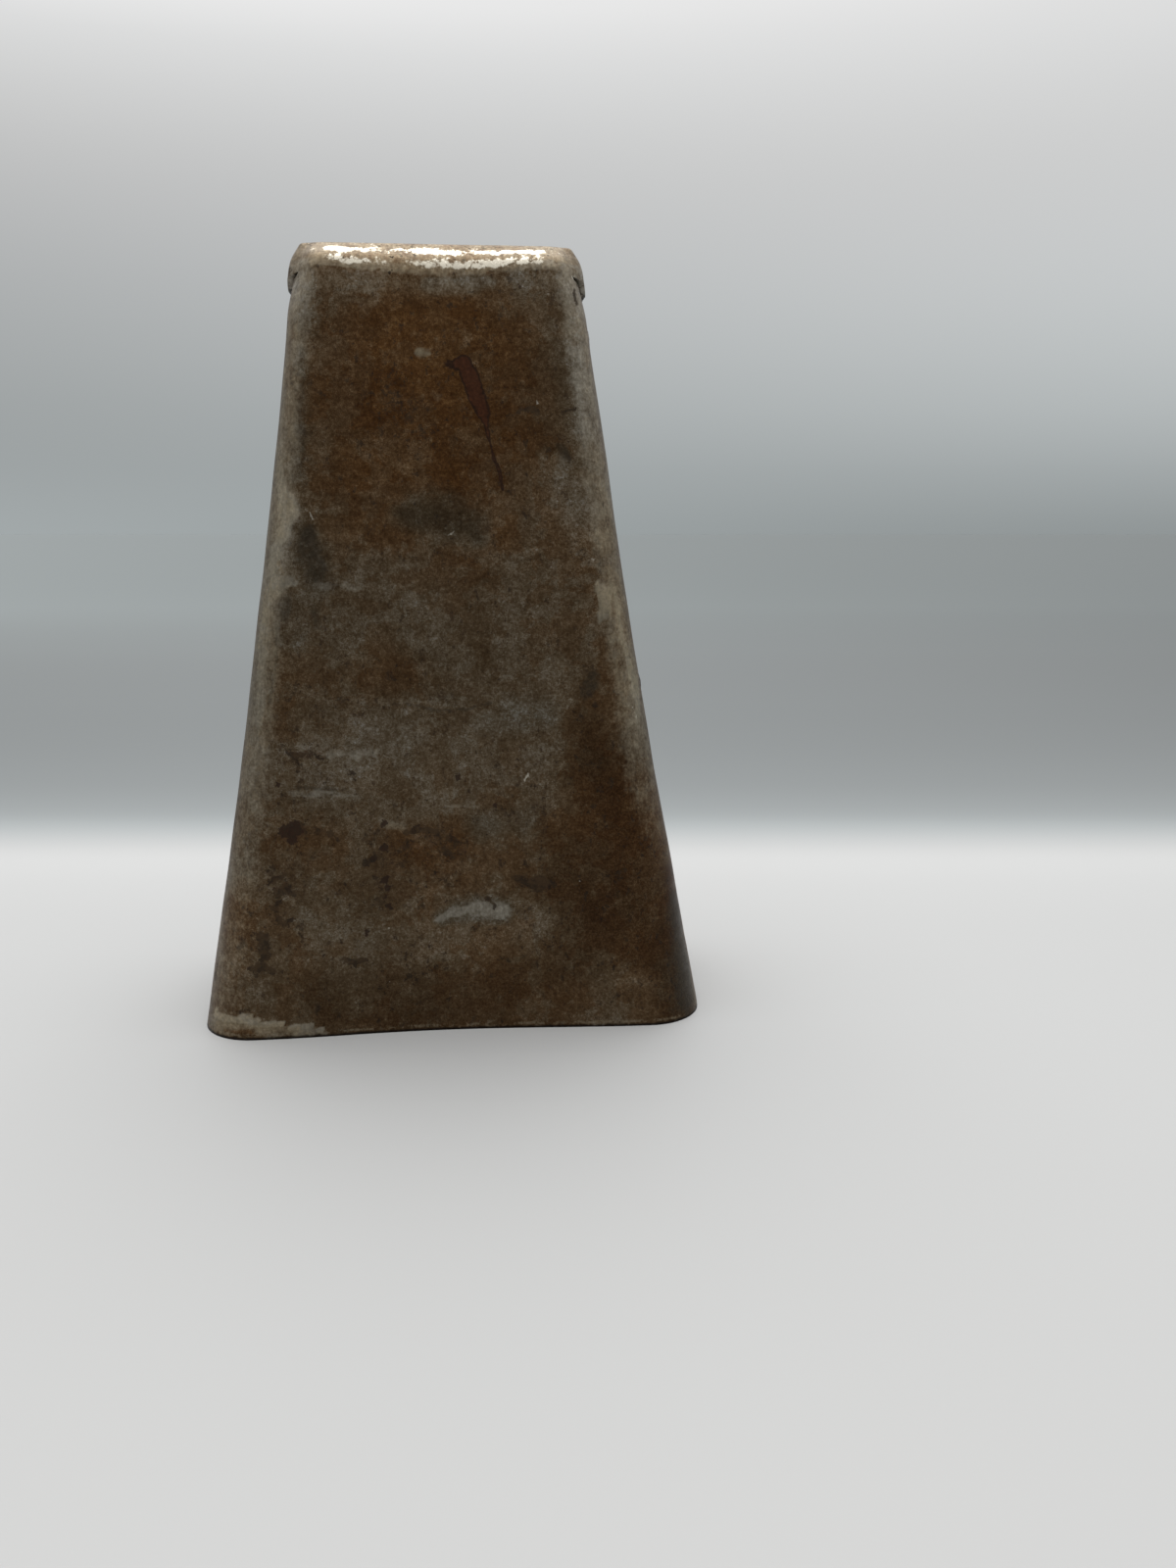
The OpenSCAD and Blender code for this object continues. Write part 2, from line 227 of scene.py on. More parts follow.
def build_front():
    faces = []
    Z, PL, VAL, SG, OX, OY = [], [], [], [], [], []
    def put(z, st, sg, ox=0.0, oy=0.0):
        Z.append(z); PL.append(st[0]); VAL.append(st[1]); SG.append(sg); OX.append(ox); OY.append(oy)
    n1 = 2 * JS + 1
    tops, n_st = [], len(st_common)
    for h in range(JS + 1):
        tops.append(H - NOTCH - deep(st_common[h]) if h <= JT else
                    flap_low(st_common[h]) - 0.8 if h < n_st else H - R - 1.5)
    # face, corners and flanges
    for i in range(M_ROWS + 1):
        for j in range(n1):
            h = abs(j - JS)
            z = tops[h] * i / M_ROWS
            sg = -1.0 if j < JS else 1.0
            if h < n_st:
                put(z, st_common[h], sg)
            else:
                s = (h - n_st + 1) / NS
                put(z, (2, mix(-1.0, float(edge_y(z) / yc(z)), s)), sg)
    base = len(Z)
    rows = SKIRT + ML + MF + MT
    cols = []
    for k in range(K):
        s = k - JT
        h = -s if s < 0 else (2 * HN - s if s > HN else s)
        st = st_ring[h]
        cols.append((st, -1.0 if s < 0 or s > HN else 1.0, flap_out(st), deep(st), flap_low(st)))
    for i in range(rows + 1):
        dy, dz0 = bend(max(0, i - SKIRT))
        dx = dy * EAR_IN / X_IN
        for st, sg, (ox, oy), dpt, low in cols:
            r_here = R + dpt
            z = mix(low, H - r_here, i / SKIRT) if i <= SKIRT else H - r_here + dz0 * r_here / R
            put(z, st, sg, ox - dx, oy - dy)
    X, Y = outline(np.array(Z), np.array(PL), np.array(VAL), np.array(OX), np.array(OY))
    verts = list(zip((X * np.array(SG)).tolist(), Y.tolist(), Z))
    def ring(i, k):
        k %= K
        if i == 0 and k <= 2 * JT:
            return M_ROWS * n1 + JS - JT + k
        return base + i * K + k
    for i in range(M_ROWS):
        for j in range(n1 - 1):
            faces.append((i * n1 + j, i * n1 + j + 1, (i + 1) * n1 + j + 1, (i + 1) * n1 + j))
    for i in range(rows):
        for k in range(K):
            faces.append((ring(i, k), ring(i, k + 1), ring(i + 1, k + 1), ring(i + 1, k)))
    # the flat crown, closed with shrinking rings
    P = np.array(verts)
    edge = P[base + rows * K: base + rows * K + K]
    half = 0.5 * (edge[:, 1].max() - edge[:, 1].min())
    yc0 = 0.5 * (edge[:, 1].max() + edge[:, 1].min())
    xm = np.abs(edge[:, 0]).max()
    prev = [base + rows * K + k for k in range(K)]
    for i in range(1, TOP + 1):
        s = i / TOP
        cur = []
        for k in range(K):
            x, y, z = edge[k]
            # each ring closes on the crown's long middle line
            tx = np.clip(x, -(xm - half * 0.9), xm - half * 0.9)
            nx, ny = mix(x, tx, s), mix(y, yc0, s)
            if i == TOP:
                ny = yc0 + (y - yc0) * 0.012
                nx = tx + (x - tx) * 0.012
            sag = -0.22 * ease(s * 1.2)
            cur.append(len(verts))
            verts.append((nx, ny, z + sag))
        for k in range(K):
            a, b = k, (k + 1) % K
            faces.append((prev[a], prev[b], cur[b], cur[a]))
        prev = cur
    faces.append(tuple(prev))
    V = uneven(np.array(verts, float))
    # drop vertices that no face uses
    used = sorted({v for f in faces for v in f})
    remap = {v: i for i, v in enumerate(used)}
    ob = make_object("front_shell_sheet", V[used], [tuple(remap[v] for v in f) for f in faces])
    bm = bmesh.new(); bm.from_mesh(ob.data)
    bmesh.ops.remove_doubles(bm, verts=bm.verts, dist=2e-6)
    bmesh.ops.recalc_face_normals(bm, faces=bm.faces)
    bm.to_mesh(ob.data); bm.free()
    return ob


def build_back():
    half = [(4, i / NF) for i in range(NF + 1)] + [(3, i / NA) for i in range(1, NA + 1)]
    nb = 22
    jb = len(half) + nb - 1
    rows = 150
    faces = []
    n1 = 2 * jb + 1
    Z, PL, VAL, SG = [], [], [], []
    for i in range(rows + 1):
        z = (H - R - 0.8) * i / rows
        side = float(lap_y(z) / yc(z))
        for j in range(n1):
            h = abs(j - jb)
            st = half[h] if h < len(half) else (2, mix(1.0, side, (h - len(half) + 1) / nb))
            Z.append(z); PL.append(st[0]); VAL.append(st[1]); SG.append(1.0 if j < jb else -1.0)
    X, Y = outline(np.array(Z), np.array(PL), np.array(VAL), 0.0, 0.0, -W)
    verts = list(zip((X * np.array(SG)).tolist(), Y.tolist(), Z))
    for i in range(rows):
        for j in range(n1 - 1):
            faces.append((i * n1 + j, i * n1 + j + 1, (i + 1) * n1 + j + 1, (i + 1) * n1 + j))
    ob = make_object("back_shell_sheet", uneven(np.array(verts, float)), faces)
    return ob


def outward(ob):
    """Makes the surface's normals point away from the bell's middle line."""
    me = ob.data
    bad = 0
    for p in me.polygons:
        c = p.center
        v = Vector((c.x, c.y, 0.0)) if c.z < 0.2 else Vector((c.x, c.y, 0.3))
        bad += 1 if p.normal.dot(v) < 0 else -1
    if bad > 0:
        me.flip_normals()


front = build_front(); outward(front); sheet_thickness(front)
back = build_back(); outward(back); sheet_thickness(back)

# ------------------------------------------------------------------ weld tacks
def bead(name, fn, n=26, m=30):
    """A closed bead: fn(u, v, top) gives a point for u, v in -1..1 on its top or its base."""
    verts, faces = [], []
    for top in (True, False):
        for i in range(m + 1):
            for j in range(n + 1):
                verts.append(fn(-1 + 2 * i / m, -1 + 2 * j / n, top))
    o = (m + 1) * (n + 1)
    idx = lambda d, i, j: d * o + i * (n + 1) + j
    for i in range(m):
        for j in range(n):
            faces.append((idx(0, i, j), idx(0, i, j + 1), idx(0, i + 1, j + 1), idx(0, i + 1, j)))
            faces.append((idx(1, i, j), idx(1, i + 1, j), idx(1, i + 1, j + 1), idx(1, i, j + 1)))
    for j in range(n):
        faces.append((idx(0, 0, j + 1), idx(0, 0, j), idx(1, 0, j), idx(1, 0, j + 1)))
        faces.append((idx(0, m, j), idx(0, m, j + 1), idx(1, m, j + 1), idx(1, m, j)))
    for i in range(m):
        faces.append((idx(0, i, 0), idx(0, i + 1, 0), idx(1, i + 1, 0), idx(1, i, 0)))
        faces.append((idx(0, i + 1, n), idx(0, i, n), idx(1, i, n), idx(1, i + 1, n)))
    return verts, faces


def join_beads(name, parts):
    verts, faces = [], []
    for v, f in parts:
        b = len(verts)
        verts += v
        faces += [tuple(b + i for i in q) for q in f]
    ob = make_object(name, uneven(np.array(verts, float)), faces)
    bm = bmesh.new(); bm.from_mesh(ob.data)
    bmesh.ops.recalc_face_normals(bm, faces=bm.faces)
    bm.to_mesh(ob.data); bm.free()
    for p in ob.data.polygons:
        p.use_smooth = True
    return ob


def ripple(u, v, seed):
    r = math.sin(11 * u + 2.2 * v * v + seed) * 0.5 + math.sin(7 * v - 4 * u + seed * 1.7) * 0.35 + math.sin(17 * (u * .6 + v) + seed * 3.1) * 0.2
    return r


def seam_bead(z0, side, seed):
    l, wd = 8.0, 6.0
    h = 1.4 * mix(1, 0.5, up(z0)) * (0.55 if side > 0 and z0 < 40 else 1.0)
    def fn(u, v, top):
        s = v
        g = math.sqrt(max(0, 1 - s * s))
        z = z0 + l / 2 * max(0.12, g) * u
        y = float(edge_y(z0)) + wd / 2 * s
        dome = (max(0, 1 - s * s) ** 0.6) * (max(0, 1 - u * u) ** 0.6)
        fall = W * (1 + math.sin(math.pi / 2 * s)) / 2
        down = W if s > 0 else 0.0
        o = max(h * dome - fall + 0.09 * ripple(u, v, seed) * dome, 0.08 - down) if top else -down - 0.02
        x, yy = outline(z, 2, y / float(yc(z)), o, o)
        return (side * float(x), float(yy), z)
    return bead("b", fn)


def ear_bead(side, seed):
    reach, leg = 0.3, 2.0
    def fn(u, v, top):
        vv = V_TIP + reach * v
        g = math.sqrt(max(0, 1 - v * v))
        k = (u + 1) / 2
        ze = flap_low((2, vv)) - 0.05
        z = ze - leg * max(0.12, g) * (1 - k)
        o = max(0.1, W * (0.25 + 0.7 * g) * k ** 1.2 + 0.07 * ripple(u, v, seed) * g * k) if top else -0.02
        x, y = outline(z, 2, vv * float(yc(ze)) / float(yc(z)), o, o)
        return (side * float(x), float(y), z)
    return bead("b", fn)


def lip_bead(x0, seed):
    zl = H - LIP
    def fn(u, v, top):
        x = x0 + 5 * v
        g = math.sqrt(max(0, 1 - v * v))
        z = zl + 3 * u * max(0.12, g)
        s = abs(x) / float(hw(z) - cr(z))
        face = float(hd(z)) - DISH_B * (1 - up(z)) * float(hollow(s))
        rise = W * (1 + math.sin(math.pi / 2 * u)) / 2
        over = W if u > 0 else 0.0
        d = 1.5 * (max(0, 1 - u * u) ** 0.55) * (max(0, 1 - v * v) ** 0.55)
        o = max(rise + d + 0.09 * ripple(v * 1.4, u, seed) * d, over + 0.08) if top else over - 0.02
        return (x, face + o, z)
    return bead("b", fn)


TACK_Z = (12.0, 97.0, H - 22.0)
left_seam = join_beads("left_seam_weld_beads", [seam_bead(z, -1, 1.3 * i) for i, z in enumerate(TACK_Z)])
right_seam = join_beads("right_seam_weld_beads", [seam_bead(z, 1, 2.1 * i + 4) for i, z in enumerate(TACK_Z)])
left_ear = join_beads("left_ear_weld_bead", [ear_bead(-1, 0.4)])
right_ear = join_beads("right_ear_weld_bead", [ear_bead(1, 2.9)])
lip = join_beads("rear_lip_weld_beads", [lip_bead(-20, 0.9), lip_bead(20, 3.7)])

for ob, node, slot in ((front, "front_shell", "shell_steel"), (back, "back_shell", "shell_steel"),
                       (left_seam, "left_seam_tacks", "weld_metal"), (right_seam, "right_seam_tacks", "weld_metal"),
                       (left_ear, "left_ear_tack", "weld_metal"), (right_ear, "right_ear_tack", "weld_metal"),
                       (lip, "rear_lip_tacks", "weld_metal")):
    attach(ob, "root")
    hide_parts(node)

# ------------------------------------------------------------------ wear and staining
# Each stroke is a brushed mark on the unrolled sheet: what it adds, how much, how soft its
# edge is, and a chain of (p, z, half width) in mm. p runs along the outline from the middle
# of the front face, to the right positive; z is the height.
STROKES = [
    # upper brown field
    ("warm", 0.75, 0.7, [(-2, 195, 33.5), (-2, 177.5, 36), (-1.5, 160, 33.5)]),
    # upper brown field
    ("tone", -0.3, 0.6, [(-2, 191.5, 30), (-2, 177.5, 31.5), (-1.5, 163.5, 30)]),
    # darker left shoulder
    ("tone", -0.22, 0.8, [(-30.5, 178.5, 12), (-19, 177.5, 13.5)]),
    # darker right of middle
    ("tone", -0.25, 0.8, [(26.5, 181.5, 8), (27.5, 164, 9)]),
    # yellowish middle mottle
    ("tone", 0.16, 0.8, [(-8.5, 190, 11), (5.5, 179, 12), (-2.5, 167.5, 10)]),
    # grey under the crown bend
    ("light", 0.42, 1, [(-36, 205.5, 6), (-17, 205, 4.5), (6, 205.5, 5), (42.5, 207.5, 5)]),
    # grey under the crown bend
    ("warm", -0.5, 1, [(-35.5, 204.5, 7), (1, 205.5, 6), (42, 206.5, 7)]),
    # grey smear under the bend
    ("warm", -0.7, 0.6, [(-1.5, 204.5, 2.5), (6, 204, 3), (13.5, 205.5, 2)]),
    # grey smear under the bend
    ("tone", 0.35, 0.6, [(-1.5, 204.5, 2.5), (6, 204, 3), (13.5, 205.5, 2)]),
    # grey left shoulder
    ("tone", 0.45, 0.9, [(-36.5, 202, 5), (-33, 194.5, 3.5)]),
    # grey left shoulder
    ("warm", -0.5, 0.9, [(-36.5, 202, 5.5), (-33.5, 193.5, 4)]),
    # grey right shoulder
    ("tone", 0.4, 0.9, [(37, 203.5, 6), (37.5, 193, 5.5), (37.5, 173, 4)]),
    # grey right shoulder
    ("warm", -0.6, 0.9, [(35, 200.5, 7), (36, 190.5, 6.5), (38, 170.5, 6)]),
    # dark grey band on the left
    ("dark", 0.55, 0.9, [(-36, 188.5, 2), (-36.5, 172.5, 2), (-37.5, 156, 2)]),
    # dark grey band on the left
    ("warm", -0.5, 0.9, [(-36, 188.5, 2.5), (-36.5, 172.5, 3), (-37.5, 156, 3)]),
    # pale fleck
    ("light", 0.75, 0.5, [(-4.5, 187.5, 2), (-2.5, 188, 1)]),
    # grey flecks beside the streak
    ("light", 0.32, 0.8, [(-5.5, 179.5, 1.5), (-0.5, 176.5, 2)]),
    # grey flecks beside the streak
    ("light", 0.36, 0.8, [(4.5, 177, 1.5), (7.5, 173, 2)]),
    # worn patch, left
    ("light", 0.95, 0.5, [(-44.5, 160, 1), (-42.5, 152, 2.5), (-41.5, 148, 4), (-42, 143, 3), (-44.5, 139, 2.5), (-47, 133, 2.5), (-47, 126.5, 2)]),
    # worn patch, left
    ("light", 1.0, 0.45, [(-45, 127.5, 2.5), (-41, 127.5, 2), (-39.5, 128, 1)]),
    # worn patch, left
    ("light", 0.8, 0.4, [(-48, 126.5, 2.5), (-50.5, 115.5, 2.5), (-52, 102.5, 2.5), (-52.5, 89, 2.5)]),
    # left strip, painted sheen along the corner bend
    ("light", 0.62, 0.7, [(-41, 195, 1.5), (-43, 177.5, 2.5), (-44.5, 160, 2.5)]),
    # left strip, painted sheen along the corner bend
    ("light", 0.55, 0.7, [(-53.5, 89, 2.5), (-56.5, 72.5, 3), (-59, 59, 2.5)]),
    # left strip, low, painted sheen along the corner bend
    ("light", 0.28, 0.8, [(-60, 56, 3), (-64, 39, 2.5), (-68, 18.5, 3), (-69.5, 10, 3.5)]),
    # worn bright left strip
    ("bare", 0.3, 0.8, [(-50, 102.5, 1), (-51, 96, 1.5), (-52.5, 87.5, 1)]),
    # dark patch, left
    ("dark", 0.6, 0.8, [(-36, 139, 3), (-37, 133.5, 4), (-35.5, 131, 3)]),
    # dark patch, left
    ("tone", -0.25, 0.8, [(-34.5, 151, 4), (-29.5, 150, 3)]),
    # dark patch below
    ("dark", 0.7, 0.8, [(-42, 123.5, 2), (-43.5, 119, 2.5)]),
    # dark patch below
    ("dark", 0.7, 0.8, [(-35.5, 120.5, 2), (-35, 117.5, 2)]),
    # dark patch below
    ("warm", -0.5, 0.8, [(-40.5, 121, 7), (-41, 113.5, 6)]),
    # pale smudge
    ("light", 0.5, 0.7, [(-33.5, 127.5, 2), (-28.5, 127, 2), (-24, 126.5, 1)]),
    # pale smudge
    ("warm", -0.3, 0.7, [(-33.5, 127.5, 2.5), (-28.5, 127, 2.5), (-24, 126.5, 2)]),
    # blue-grey stain
    ("tone", -0.6, 0.7, [(-10, 145, 4), (-2, 145, 6), (5, 143, 5), (9, 140, 3)]),
    # blue-grey stain
    ("warm", -1.8, 0.8, [(-10, 146, 5), (-0.5, 145, 8), (6, 143, 7), (9, 140, 4)]),
    # dark smudge, right
    ("dark", 0.75, 0.7, [(32.5, 163, 2.5), (34, 160, 2.5)]),
    # light field, right
    ("tone", 0.55, 0.8, [(33, 155, 8), (38, 148.5, 8), (39.5, 140.5, 6)]),
    # light field, right
    ("warm", -0.5, 0.8, [(33, 155, 9), (38, 147, 9)]),
    # right strip, painted sheen along the corner bend
    ("light", 0.55, 0.7, [(45.5, 193, 2), (47.5, 178.5, 2), (49.5, 165.5, 2), (50, 152.5, 2)]),
    # right strip, painted sheen along the corner bend
    ("light", 0.45, 0.7, [(49.5, 147, 2), (49.5, 136.5, 2), (51.5, 125.5, 2)]),
    # worn patch, right
    ("light", 0.95, 0.35, [(42.5, 127.5, 1), (44, 124.5, 2), (44.5, 120.5, 2), (42.5, 117.5, 1.5)]),
    # worn patch, right
    ("light", 0.9, 0.35, [(46.5, 126, 1), (48.5, 120.5, 1), (49.5, 113.5, 1), (52, 106, 1)]),
    # worn patch, right
    ("light", 0.95, 0.35, [(52, 106, 1), (55, 99.5, 2), (55.5, 92.5, 2), (54.5, 88.5, 1)]),
    # worn bright tip
    ("bare", 0.55, 0.6, [(53, 92.5, 1), (54.5, 89, 1)]),
    # dark beside it
    ("dark", 0.6, 0.8, [(42.5, 136.5, 2), (43.5, 130, 2)]),
    # dark beside it
    ("dark", 0.45, 0.9, [(32.5, 127, 3), (39, 127, 3)]),
    # dark beside it
    ("dark", 0.65, 0.6, [(40.5, 101.5, 2.5), (39, 97.5, 3)]),
    # dark beside it
    ("tone", -0.55, 0.8, [(39, 99, 6.5), (39, 88, 7), (42, 71.5, 9)]),
    # dark beside it
    ("dark", 0.45, 0.8, [(49, 86.5, 2.5), (50, 79.5, 2)]),
    # right strip low, painted sheen along the corner bend
    ("light", 0.45, 0.8, [(56.5, 78.5, 2), (58.5, 70, 2), (60.5, 61.5, 2)]),
    # right strip low, painted sheen along the corner bend
    ("light", 0.25, 0.9, [(61.5, 55.5, 2), (65, 40.5, 2)]),
    # right low rust tint
    ("rust", 0.45, 0.9, [(70.5, 47, 2.5), (73.5, 32, 2.5), (76.5, 18.5, 2.5)]),
    # right low rust tint
    ("warm", 0.9, 0.9, [(71, 44.5, 6), (71, 24.5, 6)]),
    # dark lower right
    ("tone", -0.55, 0.7, [(44.5, 77, 15), (50, 57, 18), (53, 34.5, 18), (57, 18, 12)]),
    # dark lower right
    ("warm", 0.25, 0.8, [(44.5, 71.5, 18), (50, 43, 21), (53, 25.5, 18)]),
    # dark corner
    ("dark", 0.75, 0.8, [(72, 14.5, 3), (73, 4, 3.5)]),
    # dark corner
    ("rust", 0.3, 0.8, [(65.5, 12, 3), (69.5, 3.5, 3)]),
    # yellow-brown by the corner
    ("tone", 0.55, 0.8, [(50, 14, 3.5), (58, 13, 4)]),
    # yellow-brown by the corner
    ("rust", 0.3, 0.8, [(51.5, 13, 3), (58, 12, 3)]),
    # grey middle
    ("warm", -0.35, 0.8, [(-33, 116, 18), (-1, 115.5, 27), (28.5, 115.5, 18)]),
    # grey middle
    ("warm", -0.45, 0.8, [(-42.5, 73, 15), (-10.5, 78, 27), (22.5, 85.5, 21)]),
    # grey middle
    ("tone", 0.3, 0.8, [(-34.5, 78.5, 15), (-7.5, 77.5, 18), (14, 80, 15)]),
    # lighter band
    ("tone", 0.22, 0.8, [(-14, 129, 9), (-4, 118.5, 11), (-1.5, 111.5, 9)]),
    # brown smudge
    ("tone", -0.35, 0.8, [(-21.5, 104, 6), (-9.5, 102, 6)]),
    # brown smudge
    ("warm", 0.6, 0.8, [(-21.5, 104, 8), (-9.5, 102, 8)]),
    # brown smudge
    ("tone", -0.35, 0.8, [(-37, 97, 3.5), (-36, 92.5, 3.5)]),
    # bluish smear
    ("tone", 0.28, 0.8, [(11.5, 89, 4), (20, 90, 5), (28, 91.5, 3.5)]),
    # bluish smear
    ("warm", -0.7, 0.8, [(11.5, 89, 5.5), (20, 90, 6), (28, 91.5, 5)]),
    # bluish smear low
    ("tone", 0.22, 0.8, [(11, 60, 3.5), (21, 61, 4)]),
    # bluish smear low
    ("warm", -0.9, 0.8, [(8.5, 60, 5), (21, 61, 5.5)]),
    # light smear
    ("light", 0.62, 0.8, [(-32.5, 81, 2), (-26.5, 80.5, 2), (-20, 81.5, 1.5)]),
    # light band
    ("light", 0.58, 0.7, [(-44, 70.5, 1), (-37.5, 70, 1.5), (-29.5, 70, 1.5), (-25, 69, 1)]),
    # light band
    ("warm", -0.25, 0.8, [(-44, 70, 2.5), (-25.5, 69, 2.5)]),
    # light smears
    ("light", 0.52, 0.8, [(-19, 62, 2), (-13.5, 60, 2)]),
    # light smears
    ("light", 0.55, 0.7, [(-2, 65.5, 1), (8, 65.5, 1)]),
    # light smears
    ("light", 0.5, 0.8, [(13.5, 101.5, 1), (28.5, 102.5, 1)]),
    # faint rolled bands across the middle
    ("light", 0.42, 0.8, [(-30, 96, 1.2), (-12, 95.5, 1.6), (10, 96.5, 1.4), (30, 97, 1)]),
    ("light", 0.40, 0.8, [(-26, 88, 1), (-8, 87, 1.6), (12, 88, 1.2)]),
    ("tone", -0.25, 0.8, [(-24, 92, 1.2), (0, 91, 1.6), (22, 92.5, 1.2)]),
    ("tone", -0.22, 0.8, [(-30, 108, 1.6), (-6, 107, 2), (18, 108, 1.6)]),
    ("tone", 0.20, 0.8, [(-28, 112, 1.6), (-4, 113, 2), (20, 112, 1.6)]),
    # rust cracks
    ("rust", 0.8, 0.7, [(-44, 82, 1), (-39, 81, 1.5), (-34, 80.5, 1)]),
    # rust cracks
    ("rust", 0.55, 0.8, [(-41.5, 80, 2), (-40.5, 74.5, 2)]),
    # rust field
    ("rust", 0.46, 0.9, [(-14, 56, 4), (-5.5, 55.5, 5.5), (0.5, 58, 3.5)]),
    # rust field
    ("warm", 0.45, 0.9, [(-14, 56, 6), (-5.5, 55, 8), (3, 56.5, 6)]),
    # rust field
    ("rust", 0.34, 0.9, [(-8.5, 49.5, 9), (2.5, 46.5, 9)]),
    # rust blob
    ("rust", 1, 0.35, [(-45.5, 59, 2), (-43, 59.5, 2.5), (-41.5, 60.5, 2)]),
    # rust marks
    ("rust", 0.85, 0.5, [(-51, 46.5, 1), (-48.5, 47, 1)]),
    # rust marks
    ("rust", 0.85, 0.5, [(-49, 43, 1), (-46, 44, 1.5), (-44.5, 42.5, 1)]),
    # rust marks
    ("rust", 0.6, 0.7, [(-48, 41.5, 1), (-46, 38.5, 1)]),
    # rust area left
    ("rust", 0.32, 0.9, [(-46, 57, 8), (-44, 44, 7), (-47, 33, 6.5)]),
    # rust spots
    ("rust", 0.4, 0.9, [(-19.5, 63, 3), (-19.5, 50, 3.5), (-19.5, 37.5, 3)]),
    # dark rust
    ("rust", 0.75, 0.7, [(19, 43.5, 2), (23.5, 44, 2.5), (27.5, 42.5, 2)]),
    # dark rust
    ("dark", 0.35, 0.8, [(19, 45, 3), (27.5, 43.5, 3.5)]),
    # blue-grey patch
    ("light", 0.72, 0.55, [(-3.5, 33.2, 1.2), (0, 35, 2.2), (5, 36, 3), (10, 35.5, 3.6), (15, 35.5, 3.2)]),
    # blue-grey patch
    ("warm", -1.5, 0.6, [(-3, 33.5, 2.2), (4, 35.5, 4.5), (14, 35.5, 4.5)]),
    # light around it
    ("tone", 0.3, 0.8, [(-3.5, 28, 5), (10.5, 29, 7), (24.5, 30.5, 6.5)]),
    # brown beside it
    ("rust", 0.3, 0.9, [(20.5, 33.5, 3.5), (27.5, 26, 5)]),
    # brown light smear
    ("tone", 0.25, 0.8, [(-9, 22.5, 4), (5, 25, 5)]),
    # dark stain
    ("dark", 0.55, 0.6, [(-52.5, 30, 2), (-53, 24.5, 2)]),
    # dark stain
    ("dark", 0.5, 0.6, [(-56.5, 19.5, 2), (-52.5, 20, 2)]),
    # dark stain
    ("dark", 0.55, 0.6, [(-31, 22, 1), (-26, 22, 1)]),
    # dark stain
    ("rust", 0.5, 0.6, [(-48, 35, 1), (-45, 33, 1)]),
    # dark foot
    ("tone", -0.70, 0.7, [(-37, 12, 10), (-12.5, 11, 12), (10, 11.5, 11), (27, 18.5, 8)]),
    # dark foot
    ("dark", 0.3, 0.8, [(-37.5, 7, 4), (-12.5, 5, 5.5), (16, 5.5, 5)]),
    # left foot
    ("tone", 0.18, 0.8, [(-64, 21, 8), (-55, 37.5, 8)]),
    # pale rim band
    ("light", 0.7, 0.35, [(-71.5, 3.5, 2.5), (-59, 5, 2), (-50, 2.5, 2), (-37.5, 1, 1)]),
    # pale rim band edge
    ("light", 1.3, 0.4, [(-71, 6.2, 0.7), (-65, 6.1, 0.7), (-58, 5.8, 0.8), (-51, 4.6, 0.7), (-43, 3.4, 0.6), (-37, 2.4, 0.5)]),
    # pale rim band edge
    ("tone", 0.5, 0.5, [(-71, 6.2, 1), (-58, 5.8, 1), (-43, 3.4, 1)]),
    # reddish rim band
    ("warm", 0.8, 0.5, [(-69, 3, 1.6), (-57, 3.4, 1.4), (-45, 2, 1)]),
    # grey strip under the bend
    ("tone", 0.75, 0.8, [(-38, 207, 5), (-17, 206, 4.5), (4, 205.5, 4.5), (24, 206.5, 4.5), (40, 208, 5)]),
    # darker right half of the foot
    ("tone", -0.35, 0.8, [(30, 50, 12), (38, 38, 16), (44, 24, 14)]),
    ("tone", -0.35, 0.8, [(58, 30, 9), (60, 18, 10), (62, 9, 8)]),
    # right foot, painted near black
    ("tone", -1.0, 0.8, [(66, 42, 7), (68, 28, 9), (69, 12, 11), (67, 3, 9)]),
    ("dark", 1.0, 0.9, [(68, 34, 7), (70, 20, 9), (70, 6, 9)]),
    # right shoulder and right field stay lighter
    ("tone", 0.35, 0.8, [(36, 196, 5), (38, 180, 5), (39, 166, 5)]),
    ("light", 0.30, 0.9, [(37, 197, 4), (38.5, 180, 4), (39.5, 168, 4)]),
    ("tone", 0.30, 0.8, [(33, 155, 9), (36, 143, 8)]),
    ("tone", 0.16, 0.8, [(-12, 196, 16), (14, 192, 16)]),
    ("tone", -0.30, 0.8, [(36, 52, 12), (44, 40, 12)]),
    # lifted left shoulder and left edge
    ("tone", 0.3, 0.8, [(-40, 150, 5), (-43, 136, 5)]),
    # brighter worn patches
    ("light", 1.35, 0.45, [(-43, 151, 1.8), (-42, 147, 3), (-42.5, 142, 2.4), (-45, 138, 1.8), (-46.5, 132, 1.6)]),
    ("tone", 0.7, 0.6, [(-43, 152, 3), (-42, 146, 4), (-44.5, 138, 3), (-47, 128, 3), (-50, 114, 3)]),
    ("light", 1.3, 0.35, [(44, 124.5, 1.6), (44.3, 120.5, 1.6)]),
    ("light", 1.2, 0.35, [(52.5, 105, 1), (55, 99.5, 1.8), (55.5, 92.5, 1.8)]),
    ("tone", 0.6, 0.6, [(44, 124, 3), (49, 117, 2.5), (53, 103, 3), (55.5, 94, 3)]),
    ("dark", 0.78, 0.8, [(-36, 141, 3.2), (-35.5, 136, 5.2), (-34, 131, 4.5)]),
    ("tone", -0.30, 0.8, [(-36, 141, 4), (-35, 135, 6), (-33, 129, 5)]),
    ("warm", -0.8, 0.8, [(-37, 142, 6), (-36, 135, 8), (-34, 129, 6)]),
    # lighter right strip, painted sheen along the corner bend
    ("light", 0.5, 0.8, [(40, 184, 2.5), (40.5, 172, 2.5), (42.5, 158, 2.5)]),
    ("tone", 0.3, 0.8, [(37, 150, 6), (32, 144, 7)]),
    ("tone", 0.35, 0.8, [(-49, 150, 4), (-50, 140, 4)]),
    # darker lower right
    ("tone", -0.60, 0.8, [(30, 42, 8), (38, 32, 10), (38, 20, 9)]),
